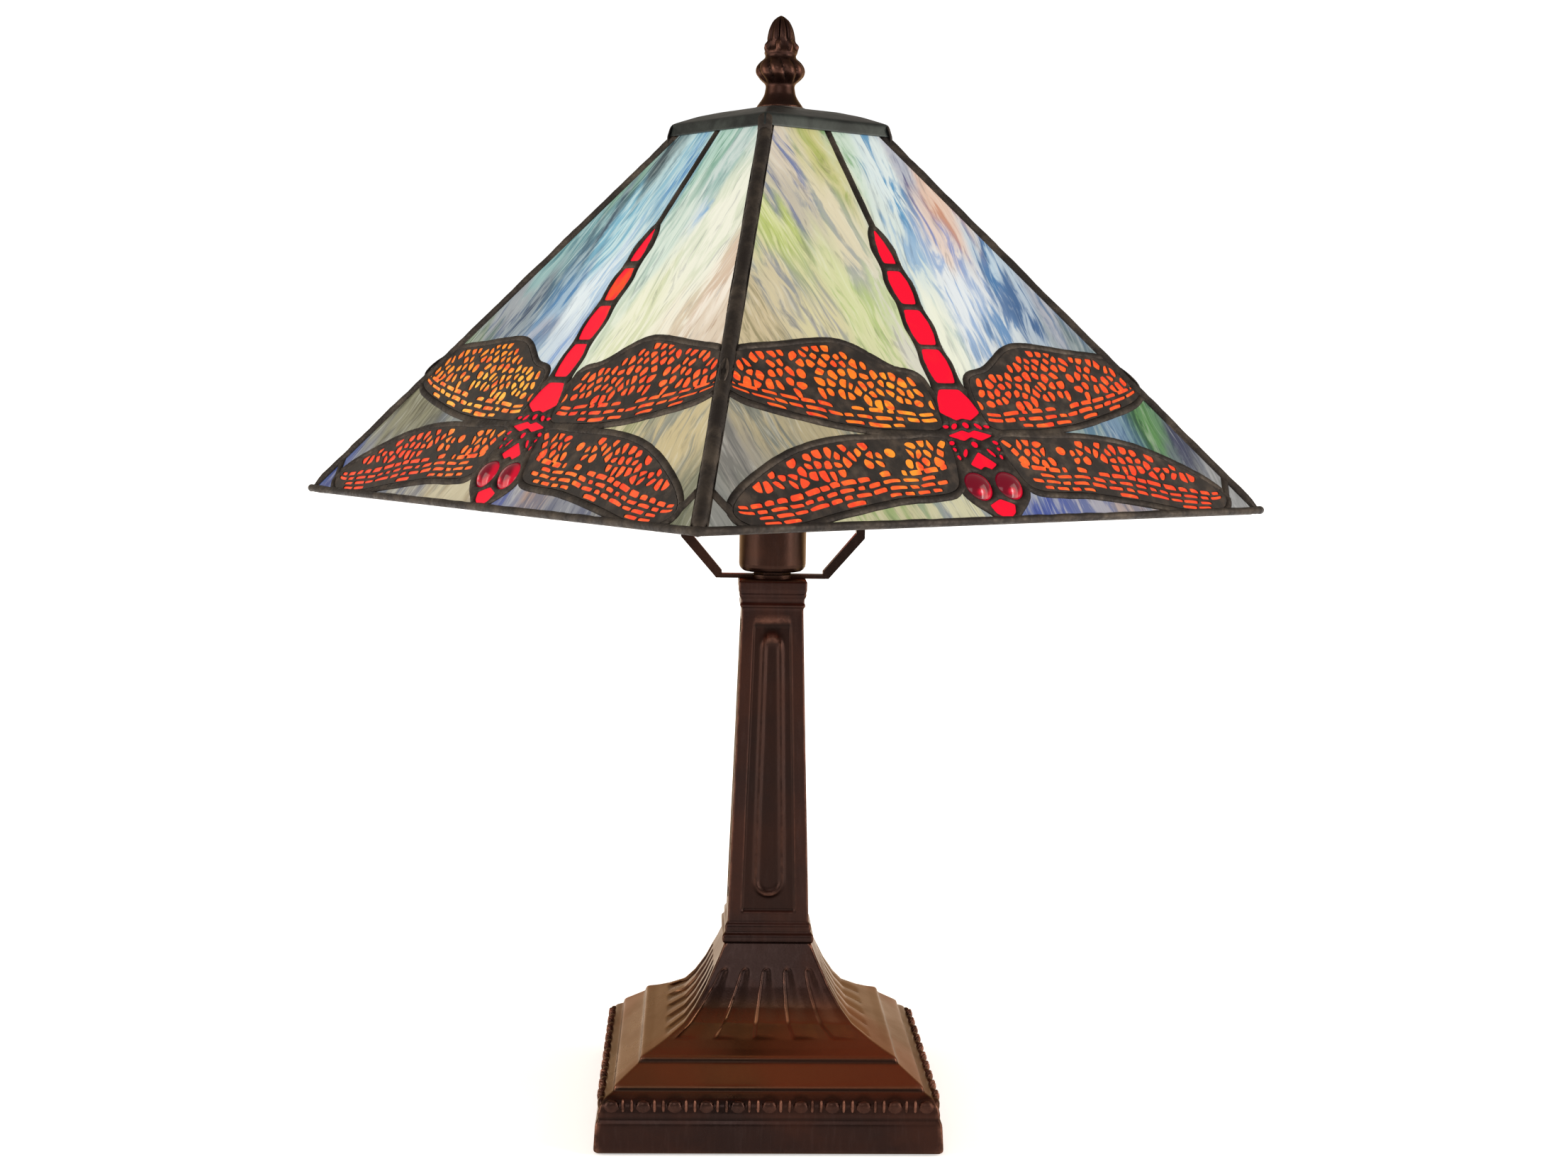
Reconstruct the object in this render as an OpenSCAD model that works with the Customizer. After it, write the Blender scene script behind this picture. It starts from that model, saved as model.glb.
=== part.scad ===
// Table lamp with a leaded glass shade: a square stepped base, a tapered square column, a keyed socket with
// bulb and harp, and a four-panel shade with an insect in each panel, held down by a turned finial.
// Millimetres. The origin is the middle of the base's underside, +Z is up and -Y is the front.

/* [Base] */
// Width of the square base across its foot
base_w = 171.4; // [165:0.2:176]
// Height of the base casting, up to the collar of the column
base_h = 88.9; // [88:0.1:90]
// Wall thickness of the base casting
base_wall = 3; // [2.5:0.1:3.5]
// Thickness of the felt pad, of which 0.6 mm stands below the casting
felt_t = 1.6; // [1.2:0.1:2]
// Thickness of the steel bottom plate
plate_t = 1.6; // [1:0.1:2]
// Width of the square base weight
weight_w = 116; // [90:1:120]
// Height of the weight's top above the table
weight_top = 24; // [20:1:26]
// Radius of the cord's way through the inlet bushing
inlet_r = 3.5; // [3:0.1:4]

/* [Column] */
// Height of the column's top above the table
column_top = 275.5; // [274:0.1:276]
// Wall thickness of the column casting
column_wall = 3.2; // [2.5:0.1:3.5]
// Depth of the sunk panel in each face
panel_sink = 1; // [0.5:0.1:1.4]
// Radius of the threaded lamp pipe
pipe_r = 4.9; // [4.8:0.05:5]
// Radius of the wire way inside the lamp pipe
pipe_bore_r = 3.3; // [3:0.1:3.6]

/* [Harp and socket] */
// Half the distance between the harp's legs
harp_half = 45; // [44:0.5:46]
// Outward lean of the harp's legs in degrees
harp_lean = 1.5; // [0:0.1:1.8]
// Radius of the harp's wire
wire_r = 2; // [1.8:0.1:2]
// Outer radius of the socket cup
cup_r = 17.2; // [17:0.1:17.5]
// Height of the switch shaft's axis
switch_z = 305; // [304.5:0.1:305.5]
// Radius of the switch shaft
shaft_r = 2; // [1.9:0.1:2.1]
// Radius of the switch knob
knob_r = 6.5; // [5.5:0.1:7]

/* [Bulb] */
// Radius of the bulb's round end
globe_r = 30; // [28:0.5:30]
// Height of the middle of the round end
globe_z = 393; // [390:1:396]
// Radius over the threads of the bulb's screw base
screw_r = 13; // [12.9:0.05:13.1]

/* [Shade] */
// Turn of the shade about the stand in degrees
shade_turn = 35.9; // [0:0.1:89]
// Width of the shade across the outer faces of two panels, at the bottom rim
shade_w = 351.2; // [348:0.2:354]
// Height of the shade's bottom rim above the table
rim_z = 314.7; // [313:0.1:316]
// Height of the cap's lower edge above the table
cap_z = 498.7; // [498:0.1:499.5]
// Width of the square cap across its lower edge
cap_w = 82; // [80:0.2:84]
// Thickness of the lead lattice
lead_t = 4.5; // [4:0.1:5]
// Thickness of the glass
glass_t = 3; // [2.5:0.1:3.2]
// How far the glass lies below the lattice's outer face
glass_sink = 0.8; // [0.6:0.1:1]
// Thickness of the pierced brass over the wings
filigree_t = 0.5; // [0.3:0.1:0.6]
// Width of the lead around a wing
wing_lead = 1.9; // [1.5:0.1:2.4]
// Radius of the solder along a ridge
ridge_r = 3; // [2.6:0.1:3.1]
// Radius of the bead along the bottom rim
rim_r = 2; // [1.8:0.1:2.1]
// Radius of an eye cabochon
eye_r = 7.6; // [6.5:0.1:7.8]

/* [Finial] */
// Height of the finial's tip above the table
lamp_h = 559; // [558:0.5:562]
// Radius of the finial's foot
finial_foot_r = 12; // [11:0.1:12.5]
// Radius of the harp's threaded stud
stud_r = 3.1; // [3:0.05:3.2]

/* [Hidden] */
$fn = 48;
base_hw = base_w / 2;
casting_z = 0.6;                          // lower edge of the base casting
plate_z = felt_t;
weight_z = plate_z + plate_t;
inlet_z = 10.5;
bushing_r = 5.5;
hole_r = pipe_r + 0.15;                   // clearance hole for the lamp pipe
web_t = 4.5;                              // thickness of the floors that the lamp pipe clamps
nut_z = 8;
nut_h = 4.5;
nut_r = 8.2;                              // across corners, halved
washer_h = 1.5;
pipe_z = 6;
pipe_top = 286;
saddle_t = 2;
saddle_top = column_top + saddle_t;
cup_z = saddle_top + 1.5;
cup_wall = 0.9;
cup_top = 301;
shell_r = cup_r - cup_wall - 0.05;        // socket shell, slipped into the cup
shell_z = 298;
shell_top = 340;
sleeve_r = shell_r - 0.75;                // fibre insulating sleeve
body_r = sleeve_r - 0.6;
body_z = 290;
body_top = 309;
screw_shell_r = screw_r + 1;
bulb_z = 311;                             // lowest point of the bulb's tip contact
bulb_neck_z = 341;
harp_foot_z = 302;
foot_w = 2.6;                             // flattened ends of the harp's wire, in the saddle's arms
foot_d = 3.8;
foot_h = 14;
harp_straight_z = 336;                    // where the legs begin to lean outwards
ferrule_z = 306;
ferrule_h = 12;
slope = atan((cap_z - rim_z) / ((shade_w - cap_w) / 2 + 1.4)); // steepness of a panel
shade_hw = shade_w / 2;
face_turns = [for (k = [0:3]) shade_turn + 90 * k];
cap_t = 1.2;
cap_top = 512;
cap_hw = cap_w / 2;
washer_top = cap_top + 1;
harp_top = cap_top - cap_t - 1.8 - wire_r; // centre line of the harp's crown
lean_k = tan(harp_lean) + 1 / cos(harp_lean);
lean_z = (harp_top - (harp_half - harp_straight_z * tan(harp_lean)) * lean_k) / (1 + tan(harp_lean) * lean_k);
lean_x = harp_half + (lean_z - harp_straight_z) * tan(harp_lean);
crown_r = lean_x / cos(harp_lean);        // radius of the harp's crown
insert_r = 5;
insert_z = washer_top;
insert_h = 9.4;
panel_v0 = 4;                             // a panel starts above the rim bead
panel_v1 = 234;                           // and ends under the cap
ridge_gap = 4.9;                          // sideways from the ridge line to a panel's edge
edge_lead = 1;

PANEL_KINDS = ["lead", "sky_glass", "wing_glass", "body_glass", "eyes", "filigree"];
STAND_NODES = ["felt_pad", "bottom_plate", "base_weight", "base_shell", "cord_bushing", "bottom_washer",
    "bottom_nut", "lamp_pipe", "column", "harp_saddle", "saddle_nut", "socket_cup", "socket_shell",
    "socket_sleeve", "socket_body", "socket_screw_shell", "socket_contact", "terminal_screws", "switch_shaft",
    "switch_knob", "harp", "harp_stud", "ferrule_left", "ferrule_right"];
BULB_NODES = ["bulb_envelope", "bulb_screw_base", "bulb_insulator", "bulb_tip", "bulb_mount"];
SHADE_NODES = ["shade_cap", "ridge_seams", "bottom_rim", "finial_washer", "finial_insert", "finial"];
PANEL_NODES = [for (kind = PANEL_KINDS, k = [1:4]) str(kind, "_", k)];

// Half widths and heights of the base's outer face, from the foot to the collar
BASE_PROFILE = [[base_hw, casting_z], [base_hw - 0.8, 15.6], [base_hw - 1.6, 17], [base_hw - 1.7, 20],
    [base_hw - 3, 24], [base_hw - 6, 27.4], [base_hw - 8.2, 28.4], [base_hw - 8.8, 30.1],
    [base_hw - 10.1, 31.7], [base_hw - 20.6, 39], [base_hw - 21.3, 40.7], [base_hw - 22.1, 42.5],
    [base_hw - 28, 44.6], [base_hw - 34.3, 47.6], [42.6, 52.9], [37.2, 59.4], [31.5, 68.8], [28.3, 75.7],
    [25.2, 82], [22.3, base_h]];
// The same for the hollow inside it
BASE_HOLLOW = [[base_hw - base_wall, -1], [base_hw - base_wall, 24 - base_wall * 2],
    [base_hw - 8.2 - base_wall, 28.4 - base_wall], [base_hw - 22.1 - base_wall, 42.5 - base_wall],
    [base_hw - 34.3 - base_wall, 47.6 - base_wall], [42.6 - base_wall, 52.9 - base_wall],
    [31.5 - base_wall, 68.8 - base_wall], [25.2 - base_wall - 1, base_h - web_t]];
COLUMN_PROFILE = [[22.3, base_h], [23.3, 90.5], [23.3, 94], [22, 97.5], [21.1, 99.4], [20.7, 103.2],
    [20.3, 118.5], [17.7, 195.3], [15.7, 260.6], [15.9, 262.4], [16.5, 263.6], [16.6, 266.6],
    [17.4, 268.2], [17.4, column_top]];
COLUMN_HOLLOW = [[20.5 - column_wall, base_h - 1], [20.3 - column_wall, 118.5],
    [17.7 - column_wall, 195.3], [15.7 - column_wall, column_top - web_t]];
CAP_PROFILE = [[cap_hw, cap_z], [cap_hw - 1.4, cap_z + 6.7], [cap_hw - 2.8, cap_z + 8.2],
    [cap_hw - 11, cap_z + 10.2], [cap_hw - 21, cap_top - 1.2], [12, cap_top]];
CAP_HOLLOW = [[cap_hw - cap_t, cap_z - 1], [cap_hw - 1.4 - cap_t, cap_z + 6.2],
    [cap_hw - 11 - cap_t, cap_z + 9], [12, cap_top - cap_t]];
// Radii and heights of the finial, above its foot
FINIAL_PROFILE = [[finial_foot_r, 0], [11.2, 1.6], [9, 4.4], [7.9, 6.6], [7.4, 9.5], [7.3, 11.6],
    [9.6, 14], [11.9, 16.6], [12.3, 18.6], [11.6, 20.8], [9.6, 23.4], [7.4, 25.6], [7.4, 27.4],
    [8.6, 30.2], [8.7, 32.6], [6.9, 34.8], [6.6, 36.4], [5.8, 39], [4.6, 41.8], [2.8, 44.4]];

// The insect, in a panel's own plane: u sideways from the middle, v up the slope from the rim.
// Outlines of the right-hand wings, as control points of a smooth closed curve
UPPER_WING = [[13, 52], [13, 80], [30, 87.5], [54, 101], [90, 98.5], [120, 94], [133, 79], [124, 67],
    [95, 57.5], [65, 51], [35, 49]];
LOWER_WING = [[15.5, 48], [45, 48.6], [80, 47.5], [110, 40.5], [142, 24], [154.5, 11], [146, 1.5],
    [125, 1], [95, 6.8], [60, 12.6], [26, 15.5], [16, 28]];
// Half widths and heights of the lead around the tail, body and head
BODY_LEAD = [[1.9, 171], [5.6, 165], [8, 156], [6.6, 146], [9.6, 134], [7.6, 122], [10, 110], [8, 99],
    [10.4, 88], [9.4, 77], [14.4, 66], [17, 50], [17, 30], [21, 24], [21.5, 15], [10, 5], [4, 1]];
// Half widths and heights of each tail segment and of the pieces of the body
TAIL = [[[0.4, 167], [2.6, 161], [4, 153], [3.8, 148]],
    [[3.8, 143], [5.8, 137], [5.8, 130], [4.4, 124]],
    [[4.8, 120], [6.8, 113], [6.8, 106], [5, 100]],
    [[5.2, 97], [7, 91], [7, 84], [5.6, 78]],
    [[6.4, 74], [9.6, 70], [12.4, 63], [10.6, 58], [4, 56.4]]];
BODY_PIECES = [[[11.5, 50.5], [12, 48], [7, 45.8]], [[7.6, 34], [7.6, 30.5]], [[7, 13], [4.4, 8], [1, 4]]];
SIDE_PIECES = [[[1.4, 43.6], [10.6, 43.6], [11, 38.4], [1.4, 36.4]]];

// Point at t between q and r of the smooth curve through p, q, r, s
function spline_point(p, q, r, s, t) = 0.5 * (2 * q + (r - p) * t + (2 * p - 5 * q + 4 * r - s) * t * t
    + (3 * q - p - 3 * r + s) * t * t * t);

// Closed smooth curve through the points, with n steps from each to the next
function smooth(points, n) = [for (i = [0:len(points) - 1], j = [0:n - 1]) let (m = len(points))
    spline_point(points[(i + m - 1) % m], points[i], points[(i + 1) % m], points[(i + 2) % m], j / n)];

// Points on an arc about [0, z] from one angle to another
function arc(r, z, from, to, n) = [for (i = [0:n]) let (a = from + (to - from) * i / n)
    [r * cos(a), z + r * sin(a)]];

function mirrored(points) = [for (i = [len(points) - 1:-1:0]) [-points[i][0], points[i][1]]];

// Solid whose every level is a square, from half widths and heights
module square_loft(profile) {
    intersection() {
        loft_side(profile);
        rotate([0, 0, 90]) loft_side(profile);
    }
}

module loft_side(profile) {
    length = 2 * max([for (p = profile) p[0]]) + 2;
    rotate([90, 0, 0]) linear_extrude(length, center = true) polygon(concat(profile, mirrored(profile)));
}

module tube(outer, inner, low, high) {
    translate([0, 0, low]) difference() {
        cylinder(r = outer, h = high - low);
        translate([0, 0, -1]) cylinder(r = inner, h = high - low + 2);
    }
}

// ---- stand ----

module felt_pad() color("darkolivegreen")
    translate([0, 0, felt_t / 2]) cube([base_w - 8.4, base_w - 8.4, felt_t], center = true);

module bottom_plate() color("dimgray") difference() {
    translate([0, 0, plate_z + plate_t / 2]) cube([base_w - 7.4, base_w - 7.4, plate_t], center = true);
    cylinder(r = 15, h = 20);
}

module base_weight() color("slategray") difference() {
    translate([-weight_w / 2, -weight_w / 2, weight_z]) cube([weight_w, weight_w, weight_top - weight_z]);
    cylinder(r = hole_r + 0.6, h = 100, center = true);
    cylinder(r = 15, h = nut_z + nut_h + washer_h);
}

module base_shell() color([0.24, 0.16, 0.13]) difference() {
    square_loft(BASE_PROFILE);
    difference() {
        square_loft(BASE_HOLLOW);
        translate([-10, -10, weight_top]) cube([20, 20, base_h - weight_top]);
    }
    cylinder(r = hole_r, h = 200);
    translate([0, 0, inlet_z]) rotate([-90, 0, 0]) cylinder(r = bushing_r, h = base_w);
}

module cord_bushing() color("black")
    translate([0, base_hw - base_wall - 2, inlet_z]) rotate([-90, 0, 0]) difference() {
        union() {
            cylinder(r = bushing_r - 0.05, h = base_wall + 2.6);
            cylinder(r = bushing_r + 1, h = 1.9);
        }
        translate([0, 0, -1]) cylinder(r = inlet_r, h = 20);
    }

module bottom_washer() color("silver") tube(12, hole_r, nut_z + nut_h, nut_z + nut_h + washer_h);

module bottom_nut() color("goldenrod") translate([0, 0, nut_z]) difference() {
    cylinder(r = nut_r, h = nut_h, $fn = 6);
    translate([0, 0, -1]) cylinder(r = pipe_r + 0.03, h = nut_h + 2, $fn = 48);
}

module lamp_pipe() color("silver") tube(pipe_r, pipe_bore_r, pipe_z, pipe_top);

// Long oval, wider at the bottom, between two heights
module long_oval(low_r, low_z, high_r, high_z) {
    translate([0, low_z]) circle(low_r);
    translate([0, high_z]) circle(high_r);
    polygon([[-low_r, low_z], [low_r, low_z], [high_r, high_z], [-high_r, high_z]]);
}

module column_panel_2d() difference() {
    polygon([[-14, 105], [14, 105], [9.8, 254], [-9.8, 254]]);
    difference() {
        long_oval(7.6, 121, 5.6, 242);
        long_oval(6.2, 121, 4.2, 242);
    }
}

module column() color([0.22, 0.14, 0.12]) difference() {
    square_loft(COLUMN_PROFILE);
    square_loft(COLUMN_HOLLOW);
    cylinder(r = hole_r, h = 300);
    for (k = [0:3]) rotate([0, 0, 90 * k])
        translate([0, -20.7 + panel_sink, 103.2]) rotate([90 - 1.87, 0, 0]) translate([0, -103.2, 0])
            linear_extrude(5) column_panel_2d();
}

module harp_saddle() color([0.3, 0.18, 0.12]) difference() {
    union() {
        translate([0, 0, column_top]) cylinder(r = 11, h = saddle_t);
        translate([-27, -4, column_top]) cube([54, 8, saddle_t]);
        for (side = [-1, 1]) scale([side, 1, 1]) saddle_arm();
    }
    cylinder(r = hole_r, h = 400);
}

module saddle_arm() difference() {
    rotate([90, 0, 0]) linear_extrude(7, center = true) polygon([[26, column_top], [28.9, column_top],
        [harp_half + 2.2, 296.5], [harp_half + 2.2, 314], [harp_half - 2.2, 314], [harp_half - 2.2, 299],
        [26, column_top + 3.6]]);
    translate([harp_half - 3, -2.2, harp_foot_z - 0.2]) cube([4.2, 4.4, 20]);
}

module saddle_nut() color("dimgray") translate([0, 0, saddle_top]) difference() {
    cylinder(r = 9.5, h = cup_z - saddle_top, $fn = 6);
    translate([0, 0, -1]) cylinder(r = pipe_r + 0.03, h = 10, $fn = 48);
}

// ---- socket ----

module socket_cup() color([0.28, 0.17, 0.16]) rotate_extrude() polygon(concat([[hole_r, cup_z]],
    arc_corner(cup_r, cup_z, 4), [[cup_r, cup_top], [cup_r - cup_wall, cup_top]],
    reverse(arc_corner(cup_r - cup_wall, cup_z + cup_wall, 3.1)), [[hole_r, cup_z + cup_wall]]));

// Rounded outer corner of a cup: radius r, floor at z, corner radius c
function arc_corner(r, z, c) = [for (i = [0:4]) let (a = -90 + i * 22.5) [r - c + c * cos(a), z + c + c * sin(a)]];
function reverse(list) = [for (i = [len(list) - 1:-1:0]) list[i]];

module switch_way(r) translate([0, 0, switch_z]) rotate([-90, 0, 0]) cylinder(r = r, h = 40);

module socket_shell() color([0.28, 0.17, 0.16]) difference() {
    union() {
        tube(shell_r, shell_r - 0.65, shell_z, shell_top);
        tube(shell_r + 0.5, shell_r - 0.65, shell_top - 2, shell_top);
    }
    switch_way(shaft_r + 0.5);
}

module socket_sleeve() color("tan") difference() {
    tube(sleeve_r, sleeve_r - 0.5, body_z, shell_top - 3);
    switch_way(shaft_r + 0.5);
}

module socket_body() color([0.12, 0.1, 0.09]) difference() {
    translate([0, 0, body_z]) cylinder(r = body_r, h = body_top - body_z);
    translate([0, 2, 0]) switch_way(shaft_r + 0.05);
    for (side = [-1, 1]) translate([9 * side, 0, body_z - 1]) cylinder(r = 1.75, h = 9);
}

module socket_screw_shell() color("goldenrod") union() {
    tube(screw_shell_r, screw_r + 0.35, body_top + 1.2, 336);
    tube(screw_shell_r, 6.5, body_top, body_top + 1.2);
}

module socket_contact() color("gold") translate([0, 0, body_top]) union() {
    cylinder(r = 3, h = 1.6);
    translate([-2, -5.6, 0]) cube([4, 5.6, 0.8]);
}

module terminal_screws() color("goldenrod") for (side = [-1, 1]) translate([9 * side, 0, body_z]) {
    translate([0, 0, -1.8]) cylinder(r = 3.2, h = 1.8);
    cylinder(r = 1.7, h = 7);
}

module switch_shaft() color("goldenrod") translate([0, 3, switch_z]) rotate([-90, 0, 0])
    cylinder(r = shaft_r, h = 28);

module switch_knob() color("black") translate([0, 22, switch_z]) rotate([-90, 0, 0]) difference() {
    union() {
        cylinder(r = knob_r * 0.7, h = 3);
        translate([0, 0, 3]) cylinder(r = knob_r, h = 11);
    }
    translate([0, 0, -1]) cylinder(r = shaft_r, h = 10);
    for (k = [0:11]) rotate([0, 0, 30 * k]) translate([knob_r + 0.5, 0, 2]) cylinder(r = 1, h = 20);
}

// ---- harp ----

// Centre line of the harp's wire: up the right leg, over the crown and down the left leg
HARP_RIGHT = concat([[harp_half, 315], [harp_half, harp_straight_z]],
    arc(crown_r, harp_top - crown_r, -harp_lean, 90, 15));
HARP_PATH = concat(HARP_RIGHT, [for (i = [len(HARP_RIGHT) - 2:-1:0]) [-HARP_RIGHT[i][0], HARP_RIGHT[i][1]]]);

function unit(v) = v / norm(v);

// Direction of a path at its point i, halfway between the stretches that meet there
function heading(path, i) = let (last = len(path) - 1)
    unit((i > 0 ? unit(path[i] - path[i - 1]) : [0, 0]) + (i < last ? unit(path[i + 1] - path[i]) : [0, 0]));

// Round wire of radius r along a path in the XZ plane
module wire(path, r, sides = 12) {
    n = len(path);
    points = [for (i = [0:n - 1], k = [0:sides - 1]) let (d = heading(path, i), a = 360 * (k + 0.5) / sides)
        [path[i][0] + r * cos(a) * d[1], r * sin(a), path[i][1] - r * cos(a) * d[0]]];
    walls = [for (i = [0:n - 2], k = [0:sides - 1]) let (next = (k + 1) % sides)
        [i * sides + k, (i + 1) * sides + k, (i + 1) * sides + next, i * sides + next]];
    ends = [[for (k = [0:sides - 1]) k], [for (k = [sides - 1:-1:0]) (n - 1) * sides + k]];
    polyhedron(points, concat(walls, ends));
}

module harp() color([0.3, 0.18, 0.12]) union() {
    wire(HARP_PATH, wire_r);
    for (x = [-harp_half - foot_w + 1.6, harp_half - 1.6]) translate([x, -foot_d / 2, harp_foot_z])
        cube([foot_w, foot_d, foot_h]);
}

module harp_stud() color("goldenrod") union() {
    translate([0, 0, harp_top + wire_r]) cylinder(r = 9, h = 1.8);
    translate([0, 0, harp_top + wire_r]) cylinder(r = stud_r, h = insert_z + insert_h - 1 - harp_top - wire_r);
}

module ferrule() color([0.3, 0.18, 0.12]) union() {
    tube(5.2, 4.45, ferrule_z, ferrule_z + ferrule_h - 1.5);
    tube(5.2, wire_r + 0.35, ferrule_z + ferrule_h - 1.5, ferrule_z + ferrule_h);
}

module ferrule_left() translate([-harp_half, 0, 0]) ferrule();

module ferrule_right() translate([harp_half, 0, 0]) ferrule();

// ---- bulb ----

function bulb_profile(inset) = concat([[0.01, bulb_neck_z - 6 + inset], [11.8 - inset, bulb_neck_z - 6 + inset],
    [11.9 - inset, bulb_neck_z - 0.8], [13.2 - inset, bulb_neck_z + 1 + inset]],
    arc(globe_r - inset, globe_z, -32, 89, 14), [[0.01, globe_z + globe_r - inset]]);

module bulb_envelope() color([0.98, 0.96, 0.9]) difference() {
    rotate_extrude() polygon(bulb_profile(0));
    rotate_extrude() polygon(bulb_profile(1));
}

module bulb_screw_base() color("silver") rotate_extrude() polygon(concat([[8.9, 314.4], [11.6, 315.4]],
    [for (i = [0:5]) each [[screw_r, 317.5 + 3 * i], [screw_r - 0.9, 319 + 3 * i]]],
    [[screw_r, 335], [screw_r + 0.2, 340], [12.1, 340], [12, 334.9], [11.4, 318], [8.9, 316]]));

module bulb_insulator() color("black") rotate_extrude()
    polygon([[4.6, 312.2], [5.6, 312.2], [8.8, 314.3], [8.8, 316], [4.6, 316]]);

module bulb_tip() color("silver") rotate_extrude()
    polygon([[0.01, bulb_z], [2.6, bulb_z + 0.1], [4.5, bulb_z + 1.1], [4.5, 315.5], [0.01, 315.5]]);

module bulb_mount() color("lightgray") union() {
    translate([0, 0, bulb_neck_z - 4.8]) cylinder(r1 = 8, r2 = 3, h = 12);
    translate([0, 0, bulb_neck_z + 7]) cylinder(r = 2.4, h = 22);
    for (side = [-1, 1]) translate([0, 0, bulb_neck_z + 26]) rotate([0, 24 * side, 0]) cylinder(r = 0.5, h = 26);
    translate([-11.5, 0, bulb_neck_z + 48.5]) rotate([0, 90, 0]) cylinder(r = 0.9, h = 23);
}

// ---- shade ----

// Stands the children, drawn in a panel's own plane, up as panel k
module on_panel(k) rotate([0, 0, face_turns[k - 1]]) translate([shade_hw, 0, rim_z])
    rotate([0, slope, 0]) rotate([0, 0, 90]) children();

// Extrudes a flat shape between two depths below the panel's outer face
module slab(top, thickness) translate([0, 0, -top - thickness]) linear_extrude(thickness) children();

function panel_half(v, inset) = shade_hw - ridge_gap - inset - v * cos(slope);

module panel_2d(inset) {
    low = panel_v0 + inset;
    high = panel_v1 - 4 * inset;
    polygon([[-panel_half(low, inset), low], [panel_half(low, inset), low],
        [panel_half(high, inset), high], [-panel_half(high, inset), high]]);
}

module both_sides() {
    children();
    mirror([1, 0]) children();
}

module wing_outer_2d() both_sides() {
    polygon(smooth(UPPER_WING, 2));
    polygon(smooth(LOWER_WING, 2));
}

module wing_glass_2d() intersection() {
    both_sides() {
        offset(delta = -wing_lead) polygon(smooth(UPPER_WING, 2));
        offset(delta = -wing_lead) polygon(smooth(LOWER_WING, 2));
    }
    panel_2d(edge_lead);
}

module body_lead_2d() polygon(concat(BODY_LEAD, mirrored(BODY_LEAD)));

module body_glass_2d() intersection() {
    union() {
        for (piece = concat(TAIL, BODY_PIECES)) polygon(concat(piece, mirrored(piece)));
        both_sides() for (piece = SIDE_PIECES) polygon(piece);
        for (u = [-8, 0, 8]) translate([u, 53.4]) circle(1.9, $fn = 8);
    }
    panel_2d(edge_lead);
}

module eyes_2d(extra) both_sides() translate([9.5, 20.5]) circle(eye_r + extra);

// Straight joints: above the tail, across each bottom corner, and between the roots of the wings
module seams_2d() {
    translate([-1.9, 160]) square([3.8, 80]);
    both_sides() {
        polygon([[146, 0], [150, 0], [164, 29], [160, 29]]);
        translate([14, 47]) square([48, 3.6]);
    }
}

module sky_glass_2d() difference() {
    panel_2d(edge_lead);
    seams_2d();
    body_lead_2d();
    wing_outer_2d();
}

module lead_2d() difference() {
    panel_2d(0);
    sky_glass_2d();
    wing_glass_2d();
    body_glass_2d();
    eyes_2d(0);
}

module lead(k) color([0.22, 0.19, 0.17]) on_panel(k) slab(0, lead_t) lead_2d();

module sky_glass(k) color([0.72, 0.8, 0.78]) on_panel(k) slab(glass_sink, glass_t) sky_glass_2d();

module wing_glass(k) color([0.95, 0.35, 0.1]) on_panel(k) slab(glass_sink, glass_t) wing_glass_2d();

module body_glass(k) color([0.9, 0.05, 0.15]) on_panel(k) slab(glass_sink, glass_t) body_glass_2d();

module eyes(k) color([0.5, 0.02, 0.08]) on_panel(k) both_sides() translate([9.5, 20.5, 0]) {
    translate([0, 0, -glass_sink - glass_t]) cylinder(r = eye_r - 0.02, h = glass_t);
    translate([0, 0, -glass_sink]) intersection() {
        cylinder(r = eye_r - 0.02, h = 10);
        translate([0, 0, -7.2]) sphere(10.46);
    }
}

module filigree(k) color([0.2, 0.15, 0.1]) on_panel(k) slab(glass_sink - filigree_t, filigree_t)
    wing_glass_2d();

// Solder rods along the four ridges, sunk a little into the corner between two panels
module ridge_seams() color([0.25, 0.22, 0.2]) for (k = [0:3]) rotate([0, 0, shade_turn + 45 + 90 * k]) {
    run = 1 / tan(slope) * sqrt(2);
    low = 316.5;
    high = cap_z - 3.2;
    foot = shade_hw * sqrt(2) - 1.04 - (low - rim_z + 1.08) * run;
    translate([foot, 0, low]) rotate([0, -atan(run), 0])
        cylinder(r = ridge_r, h = (high - low) / cos(atan(run)));
}

module bottom_rim() color([0.25, 0.22, 0.2]) for (k = [1:4]) on_panel(k)
    translate([-shade_hw + 8, 1.8, 0]) rotate([0, 90, 0]) cylinder(r = rim_r, h = 2 * shade_hw - 16);

module shade_cap() color([0.2, 0.22, 0.21]) rotate([0, 0, shade_turn]) difference() {
    square_loft(CAP_PROFILE);
    square_loft(CAP_HOLLOW);
    cylinder(r = stud_r + 1, h = 600);
}

// ---- finial ----

module finial_washer() color([0.15, 0.13, 0.12]) tube(13, stud_r + 0.6, cap_top, washer_top);

module finial_insert() color("gold") tube(insert_r, stud_r + 0.05, insert_z, insert_z + insert_h);

module finial() color([0.25, 0.16, 0.14]) difference() {
    translate([0, 0, washer_top]) rotate_extrude()
        polygon(concat([[0, 0]], FINIAL_PROFILE, [[0.6, lamp_h - washer_top - 0.2], [0, lamp_h - washer_top]]));
    translate([0, 0, washer_top - 1]) cylinder(r = insert_r + 0.05, h = insert_h + 1.5);
}

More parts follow.
